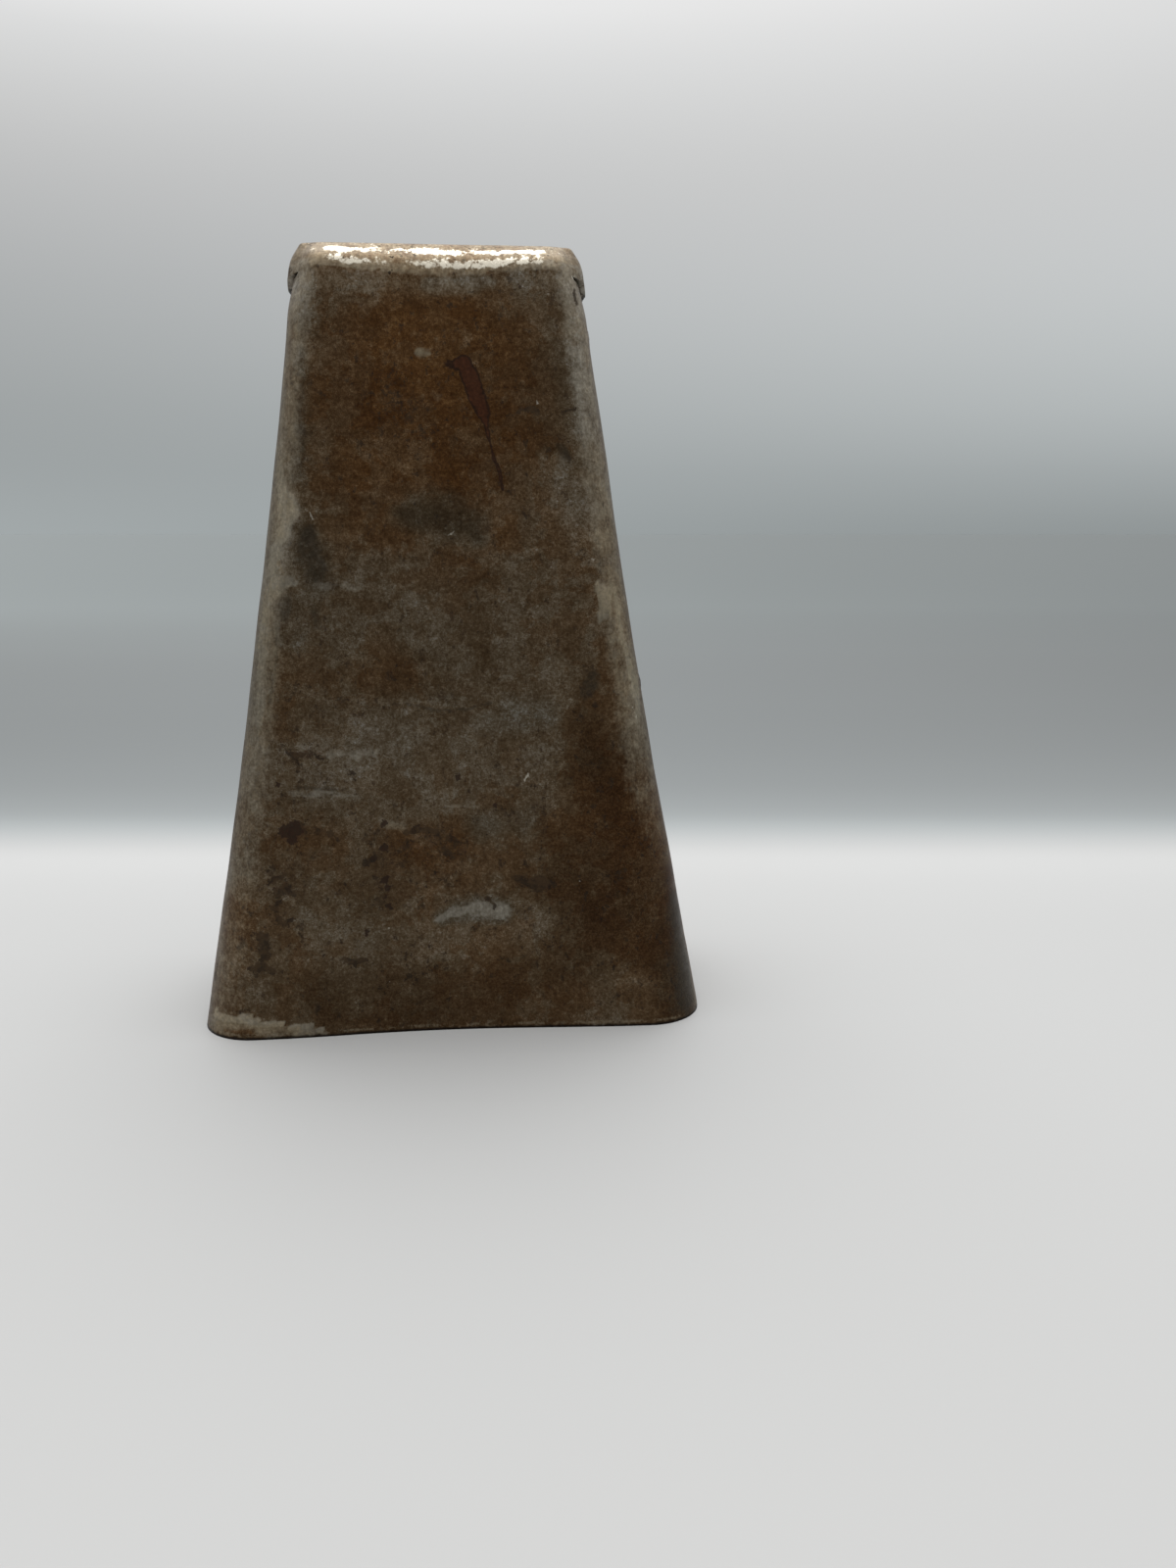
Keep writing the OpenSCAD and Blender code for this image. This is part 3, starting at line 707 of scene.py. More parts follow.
    ("tone", -0.30, 0.8, [(48, 62, 9), (54, 48, 9), (56, 30, 8)]),
    # olive lower left
    ("warm", -0.45, 0.9, [(-40, 40, 14), (-26, 30, 16), (-22, 44, 12)]),
    ("warm", 0.35, 0.9, [(-60, 40, 7), (-63, 24, 7)]),
    # crackled places
    ("rust", 0.38, 0.8, [(-44, 88, 6), (-40, 80, 8), (-36, 72, 6)]),
    ("rust", 0.34, 0.8, [(-14, 176, 10), (-4, 166, 9)]),
    ("rust", 0.34, 0.8, [(16, 74, 8), (24, 66, 8)]),
    # brown field with a crisp edge
    ("rust", 0.55, 0.5, [(-15, 54, 3), (-8, 56.5, 4), (1, 56, 3.5), (4, 52, 2.5)]),
    ("tone", -0.2, 0.5, [(-14, 53.5, 4), (-6, 55, 5.5), (3, 54, 4)]),
    # darker patch near the right foot
    ("tone", -0.15, 0.8, [(27, 8.5, 6), (44, 6.5, 8)]),
]

# rust pits, (p, z, radius)
SPOTS = [(-18.5, 61.3, 0.8), (-18.8, 54.3, 1.1), (-21.7, 51.1, 1.2), (-18.7, 45.1, 1.4), (-18, 43, 0.9),
         (-18.9, 40.5, 0.8), (-17.9, 37.4, 1), (-24.2, 30, 1), (-47.3, 73.3, 0.8), (-45.3, 59.9, 1.9), (-43.0, 60.7, 2.0), (-43.9, 57.6, 1.4),
         (2.3, 73.8, 0.8), (12.6, 65.6, 0.7), (-12.4, 207.5, 0.45), (-11.4, 211.4, 0.4)]
STREAK = [(4.9, 184.8, 1.5), (6.7, 185.1, 2.1), (8.3, 181.1, 2.5), (10, 176.3, 2.4), (11.5, 172.3, 1.9),
          (12.1, 169.5, 0.7), (13.2, 164.4, 0.3), (14.3, 160, 0.4), (15.6, 156.9, 0.6), (16.3, 152.2, 0.3)]
STREAK_ARM = [(2.6, 184.7, 1.2), (4.7, 184.3, 1.5)]
DARK_LINES = [[(-42.7, 72.1, 0.4), (-34.7, 71.6, 0.4), (-28.8, 71.3, 0.3)],
              [(-11.7, 94.6, 0.4), (-1.8, 92.3, 0.4), (5.8, 93.1, 0.4), (11.7, 94.3, 0.3)],
              [(-45.2, 116, 0.4), (-46.1, 109.3, 0.45), (-46.4, 105.1, 0.4), (-47.8, 100, 0.5), (-48.5, 95.3, 0.4)]]
# crisp-edged flakes and stains
MARKS = [
    [(-51.2, 44.9, 0.7), (-49.0, 46.3, 0.9), (-46.4, 47.6, 0.6)],
    [(-48.6, 42.2, 1.2), (-46.1, 43.7, 1.3), (-44.1, 42.0, 0.8)],
    [(-48.5, 40.1, 0.7), (-49.6, 38.0, 0.9)],
    [(-53.1, 30.1, 1.5), (-52.9, 24.7, 1.8)],
    [(-56.5, 20.8, 0.9), (-53.6, 21.6, 1.2), (-51.2, 20.4, 0.9)],
    [(-31.2, 22.5, 0.7), (-28.1, 21.2, 1.0), (-25.0, 22.2, 0.6)],
    [(-48.9, 35.7, 0.6), (-47.2, 33.3, 0.9), (-44.9, 34.9, 0.5)],
    [(-43.9, 82.1, 0.6), (-41.7, 80.7, 0.8), (-39.1, 81.8, 0.6)],
    [(-40.8, 79.7, 0.5), (-41.4, 76.4, 0.5)],
    [(-36.8, 81.2, 0.5), (-34.4, 80.1, 0.6)],
    [(18.3, 44.6, 0.9), (22.3, 42.6, 1.3), (25.2, 44.0, 1.2)],
    [(24.2, 41.1, 0.9), (27.9, 43.4, 0.9)],
    [(-24.3, 50.3, 0.7), (-20.9, 51.9, 1.3)],
    [(-33.6, 59.1, 0.5), (-31.3, 56.8, 0.5)],
    [(-29.1, 77.7, 0.5), (-26.1, 74.1, 0.4)],
    [(-12.3, 58.4, 0.9), (-8.2, 59.3, 1.1), (-3.6, 58.1, 0.7)],
    [(-2.3, 53.6, 0.7), (0.3, 51.1, 0.8)],
    [(9.3, 39.2, 0.5), (12.1, 36.3, 0.6)],
    [(33.3, 172.8, 0.6), (36.1, 173.2, 0.5)],
    [(21.2, 172.9, 0.7), (24.1, 173.4, 0.9), (26.2, 172.5, 0.6)],
    [(37.5, 204.4, 0.6), (37.8, 201.2, 0.6)],
    [(29.9, 202.7, 0.5), (30.2, 199.8, 0.5)],
]
NICKS = [[(-35.3, 146.3, 0.1), (-34.9, 145.3, 0.3), (-34.6, 144.5, 0.1)], [(25.9, 175.6, 0.05), (26, 174.9, 0.25)],
         [(40.6, 133.8, 0.1), (41.1, 133.5, 0.2)], [(1.3, 140.3, 0.05), (2.2, 140.6, 0.18), (2.9, 141.2, 0.1)],
         [(22.1, 75, 0.05), (21.9, 74, 0.28), (21.2, 72.8, 0.22), (21.1, 72.2, 0.05)], [(-18.2, 31.5, 0.05), (-18.1, 31.2, 0.2)]]


def unroll(P):
    """(p, z) of points near the sheet, p measured along the outline at that height."""
    x, y, z = P[:, 0], P[:, 1], P[:, 2]
    zc = np.clip(z, 0, H)
    c = cr(zc); cx = hw(zc) - c; cy = hd(zc) - c
    ax = np.abs(x)
    quarter = c * np.pi / 2
    thf = np.arctan2(np.maximum(ax - cx, 0), np.maximum(-y - cy, 1e-6))
    thr = np.arctan2(np.maximum(y - cy, 0), np.maximum(ax - cx, 1e-6))
    p_front = np.where(ax <= cx, ax, cx + c * thf)
    p_side = cx + quarter + (y + cy)
    p_rear = np.where(ax > cx, cx + quarter + 2 * cy + c * thr, cx + 2 * quarter + 2 * cy + (cx - ax))
    p = np.where(y < -cy, p_front, np.where(y <= cy, p_side, p_rear))
    return np.where(x < 0, -p, p), z


def wobble(p, z, seed, amp, lengths=(5.0, 8.0, 13.0)):
    r = np.random.RandomState(seed)
    d = np.zeros_like(p)
    for L in lengths:
        for _ in range(3):
            a, ph = r.uniform(0, np.pi), r.uniform(0, 2 * np.pi)
            d += np.sin((p * np.cos(a) + z * np.sin(a)) * 2 * np.pi / L + ph) * amp / 3
    return d


def stroke_value(p, z, chain, soft):
    best = np.zeros_like(p)
    pts = chain if len(chain) > 1 else chain * 2
    for (a, b, wa), (c, d, wb) in zip(pts[:-1], pts[1:]):
        ux, uz = c - a, d - b
        n = ux * ux + uz * uz
        h = np.clip(((p - a) * ux + (z - b) * uz) / n, 0, 1) if n else np.zeros_like(p)
        dist = np.hypot(p - a - h * ux, z - b - h * uz)
        w = wa + (wb - wa) * h
        best = np.maximum(best, ease((1 - dist / (w * (1 + 0.35 * soft))) / max(soft * 1.1, 0.15)))
    return best


def random_strokes(seed, p0, p1, z0, z1, side_p):
    """Marks of the same kinds for the parts of the bell the front list doesn't reach."""
    r = np.random.RandomState(seed)
    out = []
    def chain(w, steps, dp, dz, at=None):
        p, z = at if at else (r.uniform(p0, p1), r.uniform(z0, z1))
        c = []
        for _ in range(steps):
            c.append((p, z, w * r.uniform(.7, 1.3)))
            p += r.normal(0, dp); z += r.normal(0, dz)
        return c
    for _ in range(9):
        out.append(("tone", r.choice([-.4, -.3, .22, .3]), .8, chain(r.uniform(8, 17), 3, 9, 6)))
        out.append(("warm", r.choice([-.6, -.4, .3, .5]), .8, chain(r.uniform(9, 19), 3, 10, 7)))
    for _ in range(6):
        out.append(("rust", r.uniform(.22, .42), .9, chain(r.uniform(4, 8), 3, 5, 5)))
        out.append(("light", r.uniform(.3, .5), .7, chain(r.uniform(1.3, 2.4), 3, 5, 1.2)))
    for _ in range(5):
        out.append(("dark", r.uniform(.4, .8), .6, chain(r.uniform(1.8, 3.5), 3, 2.5, 4)))
        out.append(("rust", r.uniform(.8, 1), .4, chain(r.uniform(.8, 1.8), 3, 2.2, 2.2)))
    # lighter strips along the given corner bends: painted sheen, as on the front corners, with dark stains beside some
    for q in side_p:
        z = z0 + 12
        while z < z1 - 8:
            n = r.uniform(14, 34)
            out.append(("light", r.uniform(.45, .9), r.choice([.35, .6, .8]),
                        [(q(z) + r.normal(0, .8), z, r.uniform(1.2, 2.6)),
                         (q(z + n / 2) + r.normal(0, 1), z + n / 2, r.uniform(1.5, 3.2)),
                         (q(z + n) + r.normal(0, .8), z + n, r.uniform(1.0, 2.2))]))
            if r.uniform() < .6:
                out.append(("dark", r.uniform(.5, .8), .5, chain(r.uniform(2, 3.4), 2, 1.5, 4, (q(z) + r.choice([-5, 5]), z + r.uniform(0, n)))))
            z += n + r.uniform(-4, 16)
    return out


def p_corner(z): return hw(z) - cr(z) + cr(z) * np.pi / 4
def p_rear_corner(z): return hw(z) - cr(z) + cr(z) * np.pi * .75 + 2 * (hd(z) - cr(z))
def p_rear_mid(z): return hw(z) * 2 - 4 * cr(z) + cr(z) * np.pi + 2 * hd(z)


def wear_fields(P, N):
    """All wear and stain densities at points P (mm) with unit normals N."""
    p, z = unroll(P)
    pw, zw = p + wobble(p, z, 3, .55), z + wobble(p, z, 5, .55)
    f = {k: np.zeros(len(P)) for k in ("tone", "warm", "light", "dark", "rust", "bare")}
    inner = (N[:, 0] * P[:, 0] / 60 ** 2 + N[:, 1] * P[:, 1] / 30 ** 2 < -1e-4) & (np.abs(N[:, 2]) < .9)
    inner |= (N[:, 2] < -.35) & (P[:, 2] > 120)
    groups = [(STROKES, p < 1e9)]
    for sd, sg in ((11, 1), (12, -1)):
        groups.append(([(a, b, c, [(sg * q, zz, ww) for q, zz, ww in ch]) for a, b, c, ch in
                        random_strokes(sd, 76, 112, 5, 205, (p_rear_corner,))], None))
        groups.append(([(a, b, c, [(sg * q, zz, ww) for q, zz, ww in ch]) for a, b, c, ch in
                        random_strokes(sd + 20, 112, 200, 5, 205, ())], None))
    for strokes, _ in groups:
        for kind, k, soft, chain in strokes:
            v = k * stroke_value(pw, zw, chain, soft)
            if kind in ("tone", "warm"):
                f[kind] += v
            else:
                f[kind] = np.maximum(f[kind], v)
    # painted sheen: the corner bends, front and rear, are painted lighter along their length, standing in for the side
    # light they catch, less so low on the right
    zc = np.clip(z, 0, H)
    for q, k in ((p_corner(zc), .60), (p_rear_corner(zc), .55)):
        d = np.abs(np.abs(p) - q) / (cr(zc) * .72)
        v = k * ease(1.35 - d) * (1 - .62 * ease((90 - z) / 60) * (p > 0)) * (1 - .28 * ease((90 - z) / 60))
        v = v * (1 - ease((52 - z) / 26) * (p > 0) * (p < 85))
        f["light"] = np.maximum(f["light"], v)
    # the crown bend: a burnished flat, a stained strip and a second rubbed band under it
    top = (P[:, 2] > H - 14) & ~inner
    front_s = np.clip(np.abs(P[:, 0]) / (hw(H) - cr(H)), 0, 1)
    dp = np.where((P[:, 1] < 0), 2.0 * hollow(front_s) ** 0.6, 0.0)
    zn = (P[:, 2] - (H - R - dp)) / (R + dp) + wobble(p, z, 9, .035, (5.0, 9.0, 19.0))
    X = P[:, 0]
    fr = P[:, 1] < -hd(H) * .45
    k1 = np.where(fr, np.interp(X, [-41, -34, -25, -14, -6, 10, 22, 34, 39], [.9, 1, 1, .50, .95, .8, .95, 1, .8]), .55 + .25 * wobble(p, z, 41, 1.0, (7., 13., 29.)))
    k2 = np.where(fr, np.interp(X, [-41, -34, -25, -14, -2, 10, 22, 34, 39], [.05, .45, .85, .45, .72, 1, .85, .45, .75]), .35 + .3 * wobble(p, z, 42, 1.0, (8., 15., 31.)))
    band1 = np.interp(zn, [.50, .58, .66, .72, .78, .84, .92, 1.0], [0, .35, .85, 1, .75, .32, .30, .28]) * k1
    zl = zn - .15 * ease((np.abs(X) - 22) / 14)
    band2 = np.interp(zl, [.08, .17, .26, .35, .44, .52, .60, .70], [0, .35, .82, .92, .72, .42, .34, 0]) * k2
    corner_off = np.where(P[:, 1] < 0, ease((np.abs(P[:, 0]) - (hw(H) - cr(H) * .75 - EAR_IN)) / 3.5), 0.0)
    # the flat closed end: rubbed near its front edge and its ends, stained in the middle
    rubbed = np.maximum(ease((-P[:, 1] - hd(H) * .35) / 7), ease((np.abs(P[:, 0]) - hw(H) * .80) / 6))
    flat = zn > 1.0
    crown = np.where(flat, .08 + .24 * rubbed + .16 * wobble(P[:, 0], P[:, 1], 21, 1.0, (9., 17., 30.)), np.maximum(band1, band2) * (1 - .62 * corner_off))
    f["bare"] = np.where(top, np.maximum(f["bare"], crown), f["bare"])
    f["light"] = np.where(top & (zn > .05) & ~flat, np.maximum(f["light"], .62), f["light"])
    f["light"] = np.where(top & flat, .28 + .34 * rubbed + .22 * wobble(P[:, 0], P[:, 1], 23, 1.0, (8., 15., 33.)), f["light"])
    f["tone"] = np.where(top & (zn > .4) & (zn < 1.0), f["tone"] - .25, f["tone"])
    f["warm"] = np.where(top & (zn > .35) & (zn < 1.0), f["warm"] + .55, f["warm"])
    # a rubbed ring round the mouth
    f["light"] = np.maximum(f["light"], .35 * ease(1 - z / 3.0) * ~inner)
    for k in ("light", "bare"):
        f[k] = np.where(inner, f[k] * .25, f[k])
    f["tone"] = np.where(inner, f["tone"] * .5 - .25, f["tone"])
    f["rust"] = np.where(inner, np.maximum(f["rust"] * .6, .34 + .22 * wobble(p, z, 31, 1.0, (22., 40., 70.))), f["rust"])
    return f, p, z, inner


HEAT_AT = [(sx * float(hw(zz)), float(edge_y(zz)), zz) for zz in TACK_Z for sx in (-1, 1)] + \
          [(sx * float(hw(H - 14)), float(V_TIP * yc(H - 14)), H - 13) for sx in (-1, 1)] + \
          [(sx, float(hd(H - LIP)), H - LIP) for sx in (-20, 20)]


def paint(ob, weld=False):
    """Writes the densities as point attributes, after the mesh is final."""
    me = ob.data
    n = len(me.vertices)
    co = np.empty(n * 3); me.vertices.foreach_get("co", co); P = co.reshape(-1, 3) * 1000
    no = np.empty(n * 3)
    me.vertex_normals.foreach_get("vector", no) if hasattr(me, "vertex_normals") else me.vertices.foreach_get("normal", no)
    N = no.reshape(-1, 3)
    f, p, z, inner = wear_fields(P, N)
    # sharp convex edges
    bm = bmesh.new(); bm.from_mesh(me); bm.verts.ensure_lookup_table()
    ar = np.zeros(n)
    for e in bm.edges:
        if len(e.link_faces) == 2:
            a = e.calc_face_angle_signed(0.0)
            if a > .25:
                for v in e.verts:
                    ar[v.index] = max(ar[v.index], min(1.0, a / .5))
    bm.free()
    f["arris"] = ar
    heat = np.full(n, 99.0)
    for c in HEAT_AT:
        heat = np.minimum(heat, np.linalg.norm((P - np.array(c)) * (1, 1, .8), axis=1))
    f["heat"] = np.clip(1 - heat / 16, 0, 1)
    f["inside"] = inner.astype(float)
    for k, v in f.items():
        at = me.attributes.new(k, 'FLOAT', 'POINT')
        at.data.foreach_set("value", np.ascontiguousarray(v, dtype=np.float32))
    un = me.attributes.new("unrolled", 'FLOAT_VECTOR', 'POINT')
    un.data.foreach_set("vector", np.ascontiguousarray(np.stack([p, z, np.where(inner, 50.0, 0.0)], 1).ravel(), dtype=np.float32))


for ob in (front, back, left_seam, right_seam, left_ear, right_ear, lip):
    paint(ob)

# ------------------------------------------------------------------ materials
def lin(c):
    """8-bit display colour to linear."""
    out = []
    for v in c:
        v /= 255.0
        out.append(v / 12.92 if v <= 0.04045 else ((v + 0.055) / 1.055) ** 2.4)
    return (*out, 1.0)


class Nodes:
    """A short way to write node trees."""
    def __init__(self, tree):
        self.t = tree
        self.t.nodes.clear()
    def n(self, kind, **kw):
        nd = self.t.nodes.new(kind)
        for k, v in kw.items():
            setattr(nd, k, v)
        return nd
    def link(self, a, b): self.t.links.new(a, b)
    def put(self, sock, val):
        if hasattr(val, "is_output"):
            self.link(val, sock)
        else:
            sock.default_value = val
    def math(self, op, a, b=0.0, c=0.0, clamp=False):
        nd = self.n("ShaderNodeMath", operation=op, use_clamp=clamp)
        for s, v in zip(nd.inputs, (a, b, c)):
            self.put(s, v)
        return nd.outputs[0]
    def step(self, x, lo, hi):
        nd = self.n("ShaderNodeMapRange", interpolation_type='SMOOTHSTEP')
        self.put(nd.inputs[0], x); self.put(nd.inputs[1], lo); self.put(nd.inputs[2], hi)
        nd.inputs[3].default_value = 0.0; nd.inputs[4].default_value = 1.0
        return nd.outputs[0]
    def rng(self, x, lo, hi, a, b):
        nd = self.n("ShaderNodeMapRange")
        self.put(nd.inputs[0], x); self.put(nd.inputs[1], lo); self.put(nd.inputs[2], hi)
        self.put(nd.inputs[3], a); self.put(nd.inputs[4], b)
        return nd.outputs[0]
    def mixc(self, f, a, b, mode='MIX'):
        nd = self.n("ShaderNodeMix", data_type='RGBA', blend_type=mode, clamp_factor=True)
        self.put(nd.inputs[0], f); self.put(nd.inputs[6], a); self.put(nd.inputs[7], b)
        return nd.outputs[2]
    def mixf(self, f, a, b):
        nd = self.n("ShaderNodeMix", data_type='FLOAT', clamp_factor=True)
        self.put(nd.inputs[0], f); self.put(nd.inputs[2], a); self.put(nd.inputs[3], b)
        return nd.outputs[0]
    def noise(self, vec, scale, detail=4.0, rough=0.55, dist=0.0, w=None):
        nd = self.n("ShaderNodeTexNoise", noise_dimensions='3D')
        self.put(nd.inputs["Vector"], vec)
        nd.inputs["Scale"].default_value = scale
        nd.inputs["Detail"].default_value = detail
        nd.inputs["Roughness"].default_value = rough
        nd.inputs["Distortion"].default_value = dist
        return nd.outputs[0]
    def mapping(self, vec, scale=(1, 1, 1), loc=(0, 0, 0), rot=(0, 0, 0)):
        nd = self.n("ShaderNodeMapping")
        self.put(nd.inputs["Vector"], vec)
        nd.inputs["Location"].default_value = loc
        nd.inputs["Rotation"].default_value = rot
        nd.inputs["Scale"].default_value = scale
        return nd.outputs[0]
    def attr(self, name):
        return self.n("ShaderNodeAttribute", attribute_type='GEOMETRY', attribute_name=name).outputs["Fac"]


def chain_mask(g, P, chain, edge=0.25, rough=None):
    """1 inside a chain of tapering strokes on the unrolled sheet, 0 outside."""
    best = None
    for (a, b, wa), (c, d, wb) in zip(chain[:-1], chain[1:]):
        ux, uz = c - a, d - b
        n = ux * ux + uz * uz
        rel = g.n("ShaderNodeVectorMath", operation='SUBTRACT')
        g.link(P, rel.inputs[0]); rel.inputs[1].default_value = (a, b, 0)
        dot = g.n("ShaderNodeVectorMath", operation='DOT_PRODUCT')
        g.link(rel.outputs[0], dot.inputs[0]); dot.inputs[1].default_value = (ux / n, uz / n, 0)
        h = g.math('MAXIMUM', g.math('MINIMUM', dot.outputs["Value"], 1.0), 0.0)
        along = g.n("ShaderNodeVectorMath", operation='SCALE')
        along.inputs[0].default_value = (ux, uz, 0); g.link(h, along.inputs["Scale"])
        dist = g.n("ShaderNodeVectorMath", operation='DISTANCE')
        g.link(rel.outputs[0], dist.inputs[0]); g.link(along.outputs[0], dist.inputs[1])
        w = g.math('MULTIPLY_ADD', h, wb - wa, wa)
        m = g.math('SUBTRACT', w, dist.outputs["Value"])
        best = m if best is None else g.math('MAXIMUM', best, m)
    if rough is not None:
        best = g.math('ADD', best, rough)
    return g.step(best, -edge, edge)


def spot_mask(g, P, spots, rough, edge=0.2):
    best = None
    for a, b, r in spots:
        dist = g.n("ShaderNodeVectorMath", operation='DISTANCE')
        g.link(P, dist.inputs[0]); dist.inputs[1].default_value = (a, b, 0)
        m = g.math('SUBTRACT', r, dist.outputs["Value"])
        best = m if best is None else g.math('MAXIMUM', best, m)
    return g.step(g.math('ADD', best, rough), -edge, edge)


def about(g, x, gain):
    """A noise value moved to swing round zero."""
    return g.math('MULTIPLY', g.math('SUBTRACT', x, 0.5), gain)


def scaled(g, col, k):
    nd = g.n("ShaderNodeVectorMath", operation='SCALE')
    g.put(nd.inputs[0], col if hasattr(col, "is_output") else tuple(col[:3]))
    g.put(nd.inputs["Scale"], k)
    return nd.outputs[0]


def toned(g, col, t):
    """Brightens or darkens a patina: its dark tones are richer, its light tones greyer."""
    v = g.n("ShaderNodeCombineXYZ")
    for i, k in enumerate((0.80, 1.0, 1.30)):
        g.link(g.math('POWER', 2.0, g.math('MULTIPLY', t, k)), v.inputs[i])
    nd = g.n("ShaderNodeVectorMath", operation='MULTIPLY')
    g.put(nd.inputs[0], col if hasattr(col, "is_output") else tuple(col[:3]))
    g.link(v.outputs[0], nd.inputs[1])
    return nd.outputs[0]


def shell_material(weld=False):
    mat = bpy.data.materials.new("weld_metal_heat" if weld else "shell_steel_patina")
    mat.use_nodes = True
    g = Nodes(mat.node_tree)
    out = g.n("ShaderNodeOutputMaterial")
    bsdf = g.n("ShaderNodeBsdfPrincipled")
    g.link(bsdf.outputs[0], out.inputs[0])
    tc = g.n("ShaderNodeTexCoord").outputs["Object"]
    mm = g.mapping(tc, scale=(1000, 1000, 1000))
    un = g.n("ShaderNodeAttribute", attribute_type='GEOMETRY', attribute_name="unrolled").outputs["Vector"]
    wv = g.n("ShaderNodeTexNoise", noise_dimensions='3D')
    g.link(mm, wv.inputs["Vector"])
    wv.inputs["Scale"].default_value = 0.55; wv.inputs["Detail"].default_value = 4.0; wv.inputs["Roughness"].default_value = 0.65
    shift = g.n("ShaderNodeVectorMath", operation='MULTIPLY_ADD')
    g.link(wv.outputs["Color"], shift.inputs[0])
    shift.inputs[1].default_value = (3.4, 3.4, 0); shift.inputs[2].default_value = (-1.7, -1.7, 0)
    moved = g.n("ShaderNodeVectorMath", operation='ADD')
    g.link(un, moved.inputs[0]); g.link(shift.outputs[0], moved.inputs[1])
    uw = moved.outputs[0]
    A = {k: g.attr(k) for k in ("tone", "warm", "light", "dark", "rust", "bare", "arris", "heat", "inside")}

    cloud = g.noise(mm, 0.024, 4, 0.55)
    cloud2 = g.noise(g.mapping(mm, loc=(131, 17, 62)), 0.03, 4, 0.55)
    blotch = g.noise(g.mapping(mm, loc=(31, 7, 12)), 0.095, 5, 0.6, 0.4)
    blotch2 = g.noise(g.mapping(mm, loc=(71, 47, 2)), 0.13, 5, 0.62, 0.4)
    mott = g.noise(g.mapping(mm, loc=(5, 71, 2)), 0.36, 6, 0.62, 0.3)
    mott2 = g.noise(g.mapping(mm, loc=(55, 7, 22)), 0.55, 5, 0.6, 0.2)
    fine = g.noise(g.mapping(mm, loc=(5, 1, 92)), 1.25, 4, 0.62)
    grain = g.noise(g.mapping(mm, loc=(8, 41, 9)), 3.6, 3, 0.6)
    smear = g.noise(g.mapping(mm, scale=(0.13, 0.13, 1.0), rot=(0, math.radians(5), 0)), 0.45, 5, 0.6, 0.2)
    brush = g.noise(g.mapping(mm, scale=(1.0, 1.0, 0.12)), 0.9, 4, 0.6)

    # brightness and hue of the patina
    t = g.math('ADD', g.math('ADD', A["tone"], -0.20), about(g, cloud, 1.2))
    t = g.math('ADD', t, about(g, blotch, 1.5))
    t = g.math('ADD', t, about(g, mott, 1.8))
    t = g.math('ADD', t, about(g, smear, 0.6))
    t = g.math('ADD', t, about(g, mott2, 1.5))
    t = g.math('ADD', t, about(g, fine, 3.7))
    t = g.math('ADD', t, about(g, grain, 3.6))
    w = g.math('ADD', g.math('MULTIPLY_ADD', A["warm"], 0.42, 0.55), about(g, cloud2, 0.5))
    w = g.math('ADD', w, about(g, blotch2, 0.3))
    # sheets of patina with crisp outlines, one browner and one greyer
    film = g.step(g.noise(g.mapping(mm, loc=(9, 61, 27)), 0.085, 10, 0.68, 0.25), 0.488, 0.504)
    film2 = g.step(g.noise(g.mapping(mm, scale=(0.8, 0.8, 1.15), loc=(49, 6, 7)), 0.14, 10, 0.70, 0.2), 0.535, 0.548)
    w = g.math('ADD', w, g.math('MULTIPLY_ADD', film, 0.14, -0.07))
    w = g.math('ADD', w, g.math('MULTIPLY', film2, -0.05))
    t = g.math('ADD', t, g.math('MULTIPLY_ADD', film, -0.30, 0.15))
    t = g.math('ADD', t, g.math('MULTIPLY', film2, 0.30))
    # small scuffs
    scuff = g.step(g.noise(g.mapping(mm, scale=(0.6, 0.6, 1), loc=(77, 11, 3)), 0.33, 8, 0.72, 0.2), 0.60, 0.615)
    t = g.math('ADD', t, g.math('MULTIPLY', scuff, 0.42))
    c = g.mixc(g.rng(w, 0.0, 0.42, 0.0, 1.0), lin(PAL["cool"]), lin(PAL["grey"]))
    c = g.mixc(g.rng(w, 0.42, 0.95, 0.0, 1.0), c, lin(PAL["brown"]))
    c = g.mixc(g.rng(w, 0.95, 1.5, 0.0, 1.0), c, lin(PAL["rich"]))
    c = toned(g, c, t)
    # dark brown flakes, pits and hair cracks where the rust bites
    bite = g.math('MULTIPLY', A["rust"], 0.075)
    chip = g.step(g.math('ADD', g.noise(g.mapping(mm, scale=(1, 1, 0.8), loc=(17, 91, 33)), 0.34, 9, 0.74, 0.2), bite), 0.592, 0.604)
    chip2 = g.step(g.math('ADD', g.noise(g.mapping(mm, loc=(44, 12, 90)), 0.75, 7, 0.72, 0.1), bite), 0.622, 0.636)
    pits = g.step(g.math('ADD', g.noise(g.mapping(mm, loc=(3, 23, 41)), 1.35, 3, 0.6), bite), 0.665, 0.69)
    hair = g.noise(g.mapping(mm, loc=(70, 3, 18)), 0.12, 9, 0.66, 0.4)
    hair = g.math('ABSOLUTE', g.math('SUBTRACT', hair, 0.5))
    crack = g.math('SUBTRACT', 1.0, g.step(hair, 0.004, 0.009))
    crack = g.math('MULTIPLY', crack, g.step(g.math('ADD', A["rust"], about(g, blotch2, 1.2)), 0.05, 0.45))
    flake = g.math('MAXIMUM', g.math('MULTIPLY', chip, 0.78), g.math('MULTIPLY', chip2, 0.85))
    flake = g.math('MAXIMUM', flake, g.math('MULTIPLY', pits, 0.85))
    flake = g.math('MAXIMUM', flake, g.math('MULTIPLY', crack, 0.75))
    flake_col = scaled(g, g.mixc(g.step(mott2, 0.40, 0.62), lin(PAL["flake_dark"]), lin(PAL["flake"])), g.math('POWER', 2.0, g.math('MULTIPLY_ADD', A["tone"], 0.6, about(g, fine, 1.4))))
    c = g.mixc(flake, c, flake_col)

